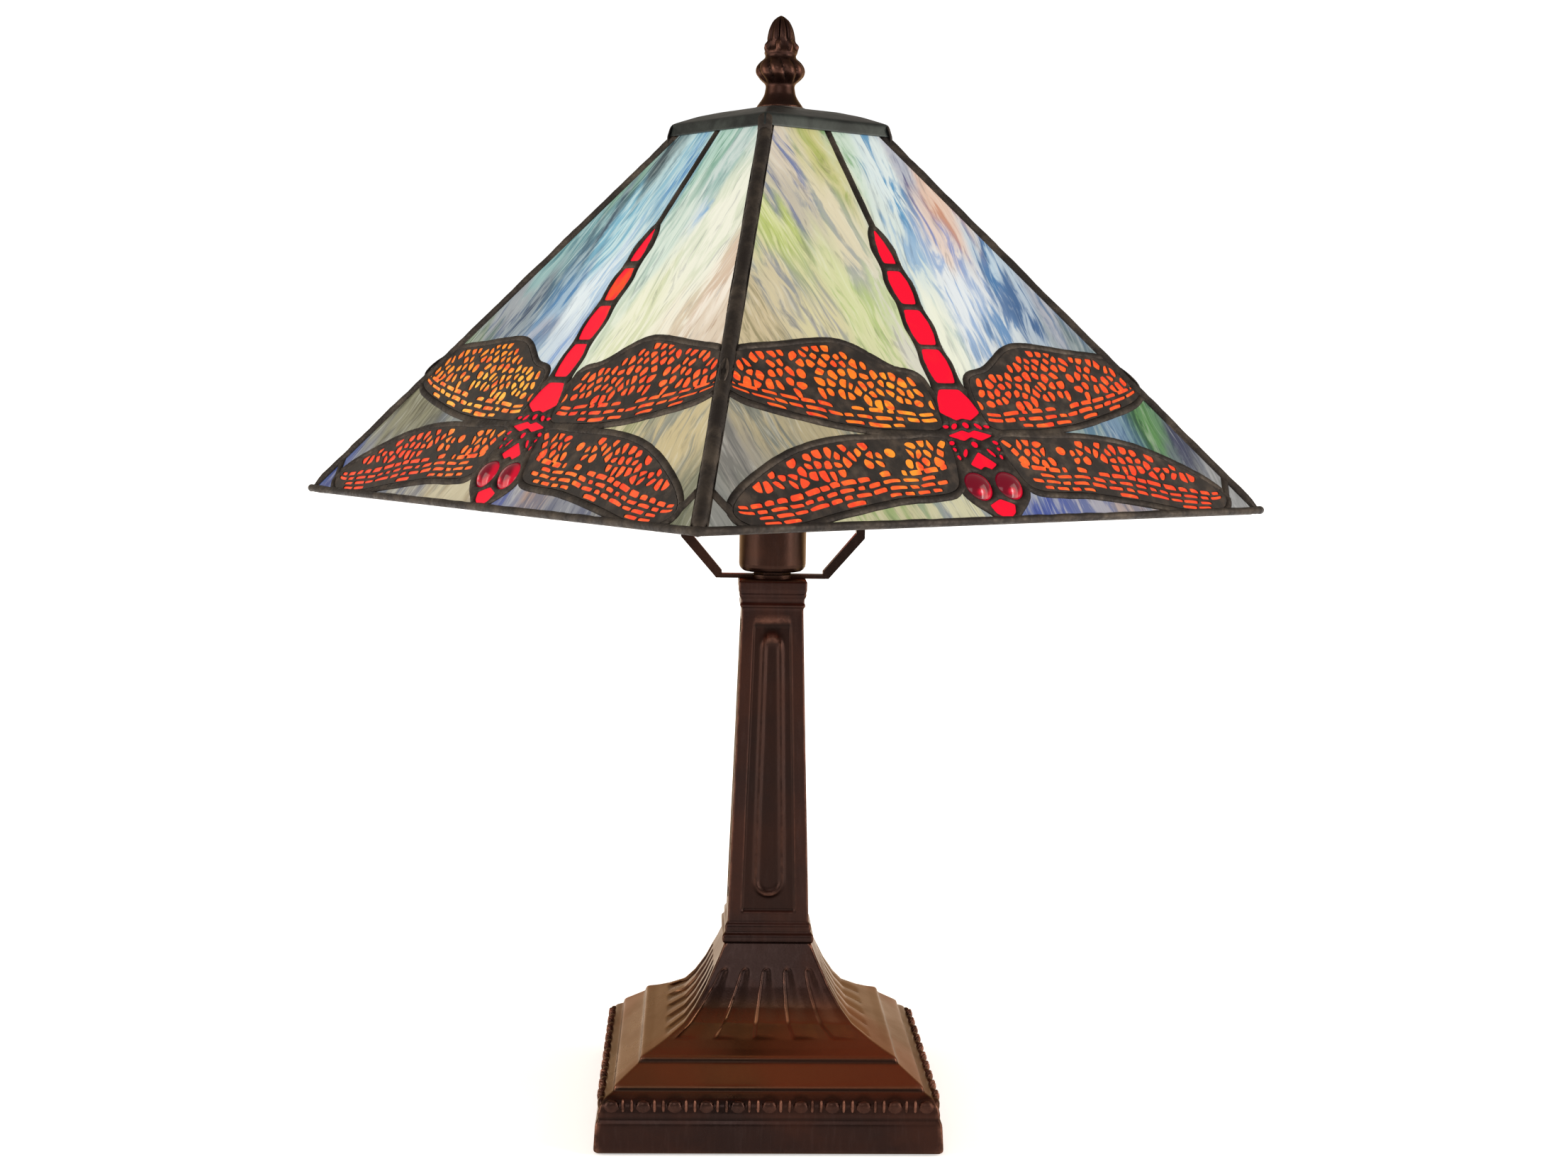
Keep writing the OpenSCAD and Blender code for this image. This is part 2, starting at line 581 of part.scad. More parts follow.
felt_pad();
bottom_plate();
base_weight();
base_shell();
cord_bushing();
bottom_washer();
bottom_nut();
lamp_pipe();
column();
harp_saddle();
saddle_nut();
socket_cup();
socket_shell();
socket_sleeve();
socket_body();
socket_screw_shell();
socket_contact();
terminal_screws();
switch_shaft();
switch_knob();
harp();
harp_stud();
ferrule_left();
ferrule_right();
bulb_envelope();
bulb_screw_base();
bulb_insulator();
bulb_tip();
bulb_mount();
shade_cap();
ridge_seams();
bottom_rim();
finial_washer();
finial_insert();
finial();
for (k = [1:4]) {
    lead(k);
    sky_glass(k);
    wing_glass(k);
    body_glass(k);
    eyes(k);
    filigree(k);
}
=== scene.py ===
"""Looks of the leaded glass table lamp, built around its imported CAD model.

Every outline below is in millimetres and is turned into metres where a mesh is made. A panel of the shade
has its own plane: u runs sideways from its middle, v up its slope from the rim, and w outwards.
"""

import math
import random

import bpy
import numpy as np
from mathutils import Matrix, Vector, noise
from mathutils.geometry import delaunay_2d_cdt


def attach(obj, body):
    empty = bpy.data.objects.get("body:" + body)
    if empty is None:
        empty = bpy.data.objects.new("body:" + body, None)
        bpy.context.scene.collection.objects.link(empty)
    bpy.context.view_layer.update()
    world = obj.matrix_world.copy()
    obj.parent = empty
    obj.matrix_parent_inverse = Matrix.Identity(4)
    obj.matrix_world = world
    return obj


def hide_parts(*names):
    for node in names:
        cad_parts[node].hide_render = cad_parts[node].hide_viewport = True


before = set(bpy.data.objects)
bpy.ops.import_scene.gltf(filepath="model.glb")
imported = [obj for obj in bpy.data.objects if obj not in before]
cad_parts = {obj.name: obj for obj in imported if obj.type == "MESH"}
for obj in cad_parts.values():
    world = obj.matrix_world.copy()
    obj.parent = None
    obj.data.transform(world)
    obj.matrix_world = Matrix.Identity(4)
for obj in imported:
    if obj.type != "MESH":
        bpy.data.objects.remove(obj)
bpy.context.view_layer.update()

MM = 0.001

# Driving dimensions of the shade, as in the CAD
SHADE_TURN = math.radians(35.9)
SHADE_HALF = 175.6
RIM_Z = 314.7
CAP_Z = 498.7
CAP_HALF = 41
CAP_TOP = 512
WASHER_TOP = 513
SLOPE = math.atan2(CAP_Z - RIM_Z, SHADE_HALF - CAP_HALF + 1.4)
RIDGE_GAP = 4.9
PANEL_LOW = 2
PANEL_HIGH = 234
GLASS_TOP = -0.8
GLASS_BACK = -3.8
FILIGREE_TOP = -0.3

# Outlines of the right-hand wings, as control points of smooth closed curves
UPPER_WING = [(13, 52), (13, 80), (30, 87.5), (54, 101), (90, 98.5), (120, 94), (133, 79), (124, 67),
              (95, 57.5), (65, 51), (35, 49)]
LOWER_WING = [(15.5, 48), (45, 48.6), (80, 47.5), (110, 40.5), (142, 24), (154.5, 11), (146, 1.5),
              (125, 1), (95, 6.8), (60, 12.6), (26, 15.5), (16, 28)]
WING_STEPS = 7
# How far the lead round a wing reaches out from its outline, and in over its glass
WING_LEAD_OUT = 1.0
WING_LEAD_IN = 2.5
# Half widths and heights of the lead around the tail, body and head
BODY_LEAD = [(1.9, 171), (5.6, 165), (8, 156), (6.6, 146), (9.6, 134), (7.6, 122), (10, 110), (8, 99),
             (10.4, 88), (9.4, 77), (14.4, 66), (17, 50), (17, 30), (21, 24), (21.5, 15), (10, 5), (4, 1)]
# Half widths and heights of each piece of red glass on the middle line, from the tail to the nose
BODY_PIECES = [[(0.4, 167.4), (2.6, 161), (4.1, 153), (3.9, 147.6)],
               [(4, 143.2), (5.9, 137), (5.9, 130), (4.5, 123.6)],
               [(4.9, 120.2), (6.9, 113), (6.9, 106), (5.2, 99.8)],
               [(5.3, 97.2), (7.1, 91), (7.1, 84), (5.8, 77.8)],
               [(6.3, 74.2), (9.8, 69), (12.5, 61), (4.5, 56.7), (0.6, 57.8)],
               [(0.4, 49.9), (3.8, 51.2), (14, 48.2), (5.3, 45.3), (0.4, 47.4)],
               [(0.4, 38.8), (8.3, 32.2), (3.4, 29.4), (0.4, 31)],
               [(0.6, 13.2), (7.8, 10.2), (5.8, 5.8), (0.6, 2.6)]]
# Dots on the body: middle, half length, half width and slant
BODY_DOTS = [(0, 54, 1.9, 1.7, 0), (0, 43.2, 1.9, 1.7, 0), (7.4, 53.4, 2.4, 1.2, -0.6),
             (12.7, 53.2, 1.8, 0.9, -0.1), (13.5, 44.2, 1.7, 1.1, -0.3), (13.6, 40.6, 1.1, 1.0, 0),
             (13.1, 36.2, 1.0, 1.3, 0), (8, 38.6, 2.8, 1.0, -0.9)]
EYE = (9.5, 20.5)
EYE_R = 7.6
# Radius of an eye's dome, and how far round it the edge lies
DOME_R = 10.4
DOME_EDGE = math.radians(47)
# Spacing of a panel's points on the glass, and on the lead, whose top is rounded over its outer 1.9 mm
GLASS_STEP = 2.8
LEAD_STEP = 0.95
LEAD_ROUND = 1.9


# ---- small helpers ----

def rgb(red, green, blue):
    """Screen colour, 0 to 255, as the linear colour that a socket takes."""
    return tuple(((c / 255 + 0.055) / 1.055) ** 2.4 if c > 10 else c / 255 / 12.92
                 for c in (red, green, blue)) + (1.0,)


def smoothstep(low, high, x):
    t = np.clip((x - low) / (high - low), 0, 1)
    return t * t * (3 - 2 * t)


def lump(point, scale, seed=0.0):
    """Smooth noise from -1 to 1 at a point in mm, with features of about the given size."""
    return noise.noise(Vector(point) / scale + Vector((seed, seed * 0.7, 0)))


def smooth_loop(points, steps):
    """Closed smooth curve through the points, with the given number of steps from each to the next."""
    p = np.array(points, float)
    before, after, far = np.roll(p, 1, 0), np.roll(p, -1, 0), np.roll(p, -2, 0)
    t = (np.arange(steps) / steps)[None, :, None]
    curve = 0.5 * (2 * p[:, None] + (after - before)[:, None] * t
                   + (2 * before - 5 * p + 4 * after - far)[:, None] * t ** 2
                   + (3 * p - before - 3 * after + far)[:, None] * t ** 3)
    return curve.reshape(-1, 2)


def cut_corners(points, times, share=0.25):
    """Closed outline with its corners rounded."""
    p = np.array(points, float)
    for _ in range(times):
        after = np.roll(p, -1, 0)
        p = np.stack([p + (after - p) * share, after - (after - p) * share], 1).reshape(-1, 2)
    return p


def mirrored(points):
    return np.array([(-u, v) for u, v in reversed(list(points))], float)


def anticlockwise(loop):
    return loop if area(loop) > 0 else loop[::-1]


def both_halves(half):
    """Closed outline from half widths and heights that run down its right-hand side."""
    return np.array(list(half) + [(-u, v) for u, v in reversed(half)], float)


def area(loop):
    after = np.roll(loop, -1, 0)
    return 0.5 * float(np.sum(loop[:, 0] * after[:, 1] - after[:, 0] * loop[:, 1]))


def grown(loop, distance):
    """The outline moved outwards, or inwards for a negative distance."""
    ahead, behind = np.roll(loop, -1, 0), np.roll(loop, 1, 0)
    along = ahead - behind
    normal = np.stack([along[:, 1], -along[:, 0]], 1)
    normal /= np.maximum(np.linalg.norm(normal, axis=1, keepdims=True), 1e-9)
    return loop + normal * distance * (1 if area(loop) > 0 else -1)


def inside(points, loop):
    """Which of the points lie inside a closed outline."""
    x, y = points[:, 0][:, None], points[:, 1][:, None]
    a, b = loop, np.roll(loop, -1, 0)
    crosses = (a[:, 1] > y) != (b[:, 1] > y)
    rise = np.where(b[:, 1] == a[:, 1], 1e-9, b[:, 1] - a[:, 1])
    reach = a[:, 0] + (y - a[:, 1]) / rise * (b[:, 0] - a[:, 0])
    return (np.sum(crosses & (x < reach), axis=1) % 2).astype(bool)


def distance_to(points, starts, ends):
    """Distance from each point to the nearest of the straight stretches."""
    best = np.full(len(points), 1e9)
    span = ends - starts
    length = np.maximum(np.sum(span * span, 1), 1e-12)
    for i in range(0, len(points), 400):
        p = points[i:i + 400, None, :]
        t = np.clip(np.sum((p - starts) * span, 2) / length, 0, 1)
        gap = p - starts - span * t[:, :, None]
        best[i:i + 400] = np.sqrt(np.min(np.sum(gap * gap, 2), 1))
    return best


def hex_grid(low, high, step):
    rows = []
    for j, v in enumerate(np.arange(low[1], high[1], step * 0.866)):
        u = np.arange(low[0], high[0], step) + (step / 2 if j % 2 else 0)
        rows.append(np.stack([u, np.full(len(u), v)], 1))
    return np.concatenate(rows)


def make(name, points, faces, body, slot, replaces, sharp=None, attributes=None):
    """Mesh object from points in mm, riding on a body, with the material that its slot names."""
    mesh = bpy.data.meshes.new(name)
    mesh.from_pydata((np.asarray(points, float) * MM).tolist(), [], faces)
    for label, (kind, values) in (attributes or {}).items():
        layer = mesh.attributes.new(label, kind, "POINT")
        field = {"FLOAT_COLOR": "color", "FLOAT_VECTOR": "vector", "FLOAT": "value"}[kind]
        layer.data.foreach_set(field, np.asarray(values, np.float32).ravel())
    mesh.materials.append(MATERIALS[slot])
    mesh.update()
    mesh.shade_smooth()
    if sharp is not None:
        mesh.set_sharp_from_angle(angle=math.radians(sharp))
    piece = bpy.data.objects.new(name, mesh)
    bpy.context.scene.collection.objects.link(piece)
    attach(piece, body)
    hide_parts(*replaces)


def rotated(points, angle):
    """The points turned about the lamp's axis."""
    cos, sin = math.cos(angle), math.sin(angle)
    return [(x * cos - y * sin, x * sin + y * cos, z) for x, y, z in points]


def append(points, faces, more_points, more_faces):
    """Add a mesh to the points and faces of others."""
    faces += [[i + len(points) for i in f] for f in more_faces]
    points += [tuple(p) for p in more_points]


def ring_faces(rings, size, closed=False):
    """Faces between rings of points in a row, with its ends closed unless the row itself closes up."""
    faces = []
    for level in range(rings if closed else rings - 1):
        low, high = level * size, (level + 1) % rings * size
        faces += [[low + i, low + (i + 1) % size, high + (i + 1) % size, high + i] for i in range(size)]
    if not closed:
        faces += [list(range(size))[::-1], list(range((rings - 1) * size, rings * size))]
    return faces


def convexity(points, faces):
    """How far each point stands out from its neighbours, in mm, a little smoothed."""
    points = np.asarray(points, float)
    edges = np.array([(f[i], f[(i + 1) % len(f)]) for f in faces for i in range(len(f))])
    triangles = np.array([(f[0], f[i], f[i + 1]) for f in faces for i in range(1, len(f) - 1)])
    normals = np.zeros_like(points)
    across = np.cross(points[triangles[:, 1]] - points[triangles[:, 0]],
                      points[triangles[:, 2]] - points[triangles[:, 0]])
    for corner in range(3):
        np.add.at(normals, triangles[:, corner], across)
    normals /= np.maximum(np.linalg.norm(normals, axis=1, keepdims=True), 1e-12)
    count = np.zeros(len(points))
    np.add.at(count, edges[:, 0], 1)
    np.add.at(count, edges[:, 1], 1)
    count = np.maximum(count, 1)

    def neighbours(values):
        total = np.zeros_like(values)
        np.add.at(total, edges[:, 0], values[edges[:, 1]])
        np.add.at(total, edges[:, 1], values[edges[:, 0]])
        return total / (count[:, None] if values.ndim > 1 else count)

    out = np.sum((points - neighbours(points)) * normals, 1)
    for _ in range(3):
        out = 0.5 * out + 0.5 * neighbours(out)
    return out


# ---- materials ----

def node(tree, kind, inputs=None, **settings):
    """New shader node. A socket among the inputs is linked, and anything else is its value."""
    made = tree.nodes.new("ShaderNode" + kind)
    for key, value in settings.items():
        setattr(made, key, value)
    for key, value in (inputs or {}).items():
        if isinstance(value, bpy.types.NodeSocket):
            tree.links.new(value, made.inputs[key])
        else:
            made.inputs[key].default_value = value
    return made


def blend_colours(tree, factor, first, second, mode="MIX"):
    return node(tree, "Mix", {0: factor, 6: first, 7: second}, data_type="RGBA", blend_type=mode).outputs[2]


def spread(tree, value, low, high, to_low=0.0, to_high=1.0):
    """The value's stretch from low to high, eased and mapped to a new range."""
    return node(tree, "MapRange", {0: value, 1: low, 2: high, 3: to_low, 4: to_high},
                interpolation_type="SMOOTHSTEP").outputs[0]


def two_tone(tree, value, low, high, first, second, most=1.0):
    """The first colour below the value's stretch, and the second, or up to most of it, above."""
    return blend_colours(tree, spread(tree, value, low, high, 0, most), first, second)


def texture(tree, where, scale, detail=3.0, roughness=0.55, distortion=0.0):
    return node(tree, "TexNoise", {"Vector": where, "Scale": scale, "Detail": detail,
                                   "Roughness": roughness, "Distortion": distortion}).outputs[0]


def stretched(tree, where, scale):
    return node(tree, "Mapping", {"Vector": where, "Scale": scale}).outputs[0]


def bump(tree, height, strength, distance):
    return node(tree, "Bump", {"Height": height, "Strength": strength, "Distance": distance}).outputs[0]


def attribute(tree, name, output):
    return node(tree, "Attribute", attribute_name=name).outputs[output]


def new_material(name, **values):
    """Material with one Principled shader, whose plain values are set on its own sockets."""
    material = bpy.data.materials.new(name)
    material.use_nodes = True
    tree = material.node_tree
    shader = tree.nodes["Principled BSDF"]
    for key, value in values.items():
        shader.inputs[key.replace("_", " ")].default_value = value
    where = node(tree, "TexCoord").outputs["Object"]
    return material, tree, shader, where


def link(tree, shader, **sockets):
    for key, socket in sockets.items():
        tree.links.new(socket, shader.inputs[key.replace("_", " ")])


def times(tree, first, second):
    return node(tree, "Math", {0: first, 1: second}, operation="MULTIPLY").outputs[0]


def lit_glass(tree, shader, colour, shade, **sockets):
    """Glass that gives out its colour as a painted glow, standing in for the bulb's light shining through it,
    and is darker in the light that falls on it from outside.
    """
    body = blend_colours(tree, 1.0, colour, shade, "MULTIPLY")
    link(tree, shader, Base_Color=body, Emission_Color=colour, **sockets)


def bronze_material(name, worn=True, dark=rgb(35, 24, 23), warm=rgb(50, 30, 25), rub_and_highlight=rgb(136, 94, 78)):
    """Cast metal with a mahogany bronze finish, browner in patches, rubbed to copper with painted highlights
    on its edges, copper-coloured with painted warm light over the base's steps and flare, and darkened with
    painted shade in its creases.
    """
    material, tree, shader, where = new_material(name, Metallic=0.85, Specular_Tint=(0.78, 0.6, 0.45, 1))
    cloud = texture(tree, where, 16, 4, 0.6, 0.4)
    streaks = texture(tree, stretched(tree, where, (1, 1, 0.12)), 420, 3, 0.7)
    grain = texture(tree, where, 900, 2)
    colour = two_tone(tree, cloud, 0.36, 0.66, dark, warm)
    colour = two_tone(tree, streaks, 0.45, 0.8, colour, rgb(78, 64, 62), 0.1)
    if worn:
        # Over the steps and the flare: copper showing through a thin finish, with painted warm light from the
        # bulb on it
        height = node(tree, "SeparateXYZ", {0: where}).outputs["Z"]
        copper_and_lamp_light = times(tree, spread(tree, height, 0.024, 0.034), spread(tree, height, 0.048, 0.07, 1, 0))
        lamp_lit_copper = two_tone(tree, texture(tree, where, 9, 3, 0.5), 0.42, 0.6,
                          rgb(90, 62, 40), rgb(110, 61, 38))
        colour = two_tone(tree, copper_and_lamp_light, 0, 1, colour, lamp_lit_copper, 0.75)
        # Painted shade darkens the creases and grooves
        colour = blend_colours(tree, attribute(tree, "painted_shade", "Fac"), colour, rgb(16, 11, 11))
        # Painted highlights and real rubbing on the edges that stand out
        wear_and_highlight = attribute(tree, "wear_and_highlight", "Fac")
        chips = texture(tree, where, 140, 4, 0.7)
        edge = times(tree, wear_and_highlight, spread(tree, chips, 0.36, 0.66, 0.12, 0.8))
        colour = blend_colours(tree, edge, colour, rub_and_highlight)
    link(tree, shader, Base_Color=colour, Roughness=spread(tree, cloud, 0.3, 0.7, 0.25, 0.41),
         Normal=bump(tree, grain, 0.12, 0.0004))
    return material


def lead_material(name):
    """Solder with a dark brown patina."""
    material, tree, shader, where = new_material(name, Metallic=0.7)
    cloud = texture(tree, where, 60, 4, 0.65, 0.3)
    fine = texture(tree, where, 500, 3, 0.6)
    colour = two_tone(tree, cloud, 0.4, 0.72, rgb(36, 31, 28), rgb(70, 62, 54))
    link(tree, shader, Base_Color=colour, Roughness=spread(tree, fine, 0.3, 0.7, 0.5, 0.75),
         Normal=bump(tree, fine, 0.35, 0.0005))
    return material


def sky_glass_material(name):
    """Streaky opalescent glass, its light from behind painted as a glow: a milky colour with feathered
    streaks of a second one.
    """
    material, tree, shader, _ = new_material(name, Roughness=0.25, Emission_Strength=0.84,
                                             Specular_IOR_Level=0.3)
    flow = attribute(tree, "flow", "Vector")
    milk = attribute(tree, "milk", "Color")
    streak = attribute(tree, "streak", "Color")
    feathers = texture(tree, stretched(tree, flow, (0.16, 0.022, 1)), 1, 5, 0.58, 1.3)
    fibres = texture(tree, stretched(tree, flow, (0.6, 0.035, 1)), 1, 3, 0.55, 0.8)
    clouds = texture(tree, stretched(tree, flow, (0.06, 0.02, 1)), 1, 3, 0.5, 0.6)
    wisps = texture(tree, stretched(tree, flow, (0.24, 0.026, 2)), 1, 5, 0.56, 1.6)
    mixed = node(tree, "Math", {0: feathers, 1: spread(tree, clouds, 0.3, 0.7, -0.1, 0.1)},
                 operation="ADD").outputs[0]
    colour = two_tone(tree, mixed, 0.44, 0.62, milk, streak)
    colour = two_tone(tree, fibres, 0.48, 0.7, colour, streak, 0.16)
    pale = blend_colours(tree, 0.36, milk, rgb(244, 244, 234))
    colour = two_tone(tree, wisps, 0.54, 0.7, colour, pale, 0.45)
    deep = blend_colours(tree, 1.0, colour, rgb(176, 180, 190), "MULTIPLY")
    colour = two_tone(tree, wisps, 0.46, 0.32, colour, deep, 0.5)
    lit_glass(tree, shader, colour, rgb(110, 110, 110), Normal=bump(tree, fibres, 0.08, 0.0006))
    return material


def wing_glass_material(name):
    """Mottled amber and red glass behind the pierced wings."""
    material, tree, shader, _ = new_material(name, Roughness=0.24, Emission_Strength=1.04,
                                             Specular_IOR_Level=0.2)
    flow = attribute(tree, "flow", "Vector")
    milk = attribute(tree, "milk", "Color")
    mottle = texture(tree, stretched(tree, flow, (0.11, 0.13, 1)), 1, 4, 0.6, 0.8)
    fine = texture(tree, stretched(tree, flow, (0.3, 0.5, 1)), 1, 3, 0.6, 0.3)
    colour = two_tone(tree, mottle, 0.4, 0.68, milk, rgb(236, 62, 36), 0.85)
    colour = two_tone(tree, fine, 0.52, 0.78, colour, rgb(255, 168, 62), 0.4)
    lit_glass(tree, shader, colour, rgb(80, 60, 50), Normal=bump(tree, fine, 0.1, 0.0005))
    return material


def body_glass_material(name):
    """Even red cathedral glass, a little brighter in wisps."""
    material, tree, shader, _ = new_material(name, Roughness=0.22, Emission_Strength=0.92,
                                             Specular_IOR_Level=0.15)
    flow = attribute(tree, "flow", "Vector")
    milk = attribute(tree, "milk", "Color")
    wisps = texture(tree, stretched(tree, flow, (0.22, 0.07, 1)), 1, 3, 0.5, 0.5)
    colour = two_tone(tree, wisps, 0.52, 0.75, milk, rgb(255, 36, 44), 0.25)
    lit_glass(tree, shader, colour, rgb(60, 30, 30), Normal=bump(tree, wisps, 0.08, 0.0005))
    return material


def eye_glass_material(name):
    """Domed ruby glass, dark in the middle, with a painted lit crescent along its lower edge and a painted
    highlight spot.
    """
    material, tree, shader, where = new_material(name, Roughness=0.14, Emission_Strength=0.72,
                                                 Specular_IOR_Level=0.3)
    glow = attribute(tree, "glow", "Fac")
    seeds = texture(tree, where, 420, 2)
    # Painted highlight: dark ruby, lit red, then pale pink where the eye's highlight attribute is highest
    colour = two_tone(tree, glow, 0, 0.6, rgb(124, 2, 34), rgb(228, 12, 52))
    colour = two_tone(tree, glow, 0.6, 1, colour, rgb(240, 160, 175), 0.8)
    colour = two_tone(tree, seeds, 0.6, 0.8, colour, rgb(200, 40, 70), 0.25)
    lit_glass(tree, shader, colour, rgb(90, 60, 60))
    return material


def filigree_material(name):
    """Blackened pierced brass."""
    material, tree, shader, where = new_material(name, Metallic=0.6)
    cloud = texture(tree, where, 130, 4, 0.6)
    colour = two_tone(tree, cloud, 0.42, 0.75, rgb(36, 32, 30), rgb(72, 62, 54))
    link(tree, shader, Base_Color=colour, Roughness=spread(tree, cloud, 0.3, 0.7, 0.42, 0.62),
         Normal=bump(tree, texture(tree, where, 700, 2), 0.2, 0.0003))
    return material


def cap_material(name):
    """Sheet metal with a green-black patina."""
    material, tree, shader, where = new_material(name, Metallic=0.75)
    cloud = texture(tree, where, 40, 5, 0.65, 0.6)
    fine = texture(tree, stretched(tree, where, (1, 1, 0.4)), 600, 3, 0.6)
    colour = two_tone(tree, cloud, 0.36, 0.7, rgb(30, 34, 34), rgb(55, 61, 59))
    link(tree, shader, Base_Color=colour, Roughness=spread(tree, cloud, 0.3, 0.7, 0.34, 0.5),
         Normal=bump(tree, fine, 0.15, 0.0004))
    return material


def metal_material(name, first, second, rough, metallic=1.0):
    """Plain metal hardware with a little tarnish."""
    material, tree, shader, where = new_material(name, Metallic=metallic)
    cloud = texture(tree, where, 80, 4, 0.6)
    link(tree, shader, Base_Color=two_tone(tree, cloud, 0.35, 0.7, first, second),
         Roughness=spread(tree, cloud, 0.3, 0.7, rough, rough + 0.15))
    return material


def felt_material(name):
    """Green felt under the base."""
    material, tree, shader, where = new_material(name, Roughness=0.95, Sheen_Weight=0.5)
    fibres = texture(tree, stretched(tree, where, (1, 0.3, 1)), 1400, 3, 0.7, 1)
    link(tree, shader, Base_Color=blend_colours(tree, fibres, rgb(30, 42, 32), rgb(64, 84, 62)),
         Normal=bump(tree, fibres, 0.6, 0.0008))
    return material


def bulb_material(name):
    """Frosted bulb, lit."""
    material, tree, shader, where = new_material(name, Roughness=0.5, Emission_Strength=3.0)
    cloud = texture(tree, where, 30, 2)
    colour = blend_colours(tree, cloud, rgb(255, 214, 150), rgb(255, 240, 214))
    link(tree, shader, Base_Color=colour, Emission_Color=colour)
    return material


MATERIALS = {
    "bronze": bronze_material("bronze"),
    "bronze_plain": bronze_material("bronze_plain", worn=False, dark=rgb(27, 18, 16), warm=rgb(48, 30, 24)),
    "lead": lead_material("lead"),
    "sky_glass": sky_glass_material("sky_glass"),
    "wing_glass": wing_glass_material("wing_glass"),
    "body_glass": body_glass_material("body_glass"),
    "eye_glass": eye_glass_material("eye_glass"),
    "filigree": filigree_material("filigree"),
    "cap_metal": cap_material("cap_metal"),
    "steel": metal_material("steel", rgb(150, 150, 152), rgb(120, 120, 122), 0.3),
    "iron": metal_material("iron", rgb(70, 68, 66), rgb(96, 88, 82), 0.5, 0.8),
    "brass": metal_material("brass", rgb(196, 152, 80), rgb(160, 118, 60), 0.26),
    "silver": metal_material("bulb_metal", rgb(200, 198, 192), rgb(168, 164, 156), 0.25),
    "phenolic": metal_material("phenolic", rgb(26, 22, 20), rgb(42, 34, 30), 0.3, 0.0),
    "fibre": metal_material("fibre", rgb(168, 140, 104), rgb(140, 112, 80), 0.7, 0.0),
    "felt": felt_material("felt"),
    "bulb": bulb_material("bulb_glass"),
}

# What each CAD node that stays in sight is made of
NODE_MATERIALS = {
    "felt_pad": "felt", "bottom_plate": "steel", "base_weight": "iron", "cord_bushing": "phenolic",
    "bottom_washer": "steel", "bottom_nut": "brass", "lamp_pipe": "steel", "harp_saddle": "bronze_plain",
    "saddle_nut": "bronze_plain", "socket_cup": "bronze_plain", "socket_shell": "bronze_plain",
    "socket_sleeve": "fibre", "socket_body": "phenolic", "socket_screw_shell": "brass",
    "socket_contact": "brass", "terminal_screws": "brass", "switch_shaft": "brass", "switch_knob": "phenolic",
    "harp": "bronze_plain", "harp_stud": "brass", "ferrule_left": "bronze_plain",
    "ferrule_right": "bronze_plain", "bulb_envelope": "bulb", "bulb_screw_base": "silver",
    "bulb_insulator": "phenolic", "bulb_tip": "silver", "bulb_mount": "silver", "finial_washer": "iron",
    "finial_insert": "brass",
}


def finish_cad_nodes():
    for name, kind in NODE_MATERIALS.items():
        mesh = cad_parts[name].data
        mesh.materials.clear()
        mesh.materials.append(MATERIALS[kind])


# ---- shade panels ----

def panel_frame(k):
    """Matrix from a panel's own plane, in mm, to the scene, also in mm."""
    slope_cos, slope_sin = math.cos(SLOPE), math.sin(SLOPE)
    tilt = Matrix(((0, -slope_cos, slope_sin, SHADE_HALF), (1, 0, 0, 0),
                   (0, slope_sin, slope_cos, RIM_Z), (0, 0, 0, 1)))
    return np.array(Matrix.Rotation(SHADE_TURN + k * math.pi / 2, 4, "Z") @ tilt)


def place(k, points):
    points = np.asarray(points, float)
    m = panel_frame(k)
    return points @ m[:3, :3].T + m[:3, 3]


def panel_half(v, inset):
    return SHADE_HALF - RIDGE_GAP - inset - v * math.cos(SLOPE)


def panel_loop(inset):
    low, high = PANEL_LOW + 1.8 * inset, PANEL_HIGH - 3 * inset
    return np.array([(-panel_half(low, inset), low), (panel_half(low, inset), low),
                     (panel_half(high, inset), high), (-panel_half(high, inset), high)])


def refined(loop, step):
    """The outline with points no further apart than a step."""
    out = []
    for a, b in zip(loop, np.roll(loop, -1, 0)):
        n = max(1, math.ceil(np.linalg.norm(b - a) / step))
        out += [a + (b - a) * i / n for i in range(n)]
    return np.array(out)


def wavering(loop, amount, scale, seed):
    """The outline with the small waver of a hand-made edge."""
    shift = [(lump((u, v, 0), scale, seed), lump((u, v, 9), scale, seed + 5)) for u, v in loop]
    return loop + np.array(shift) * amount


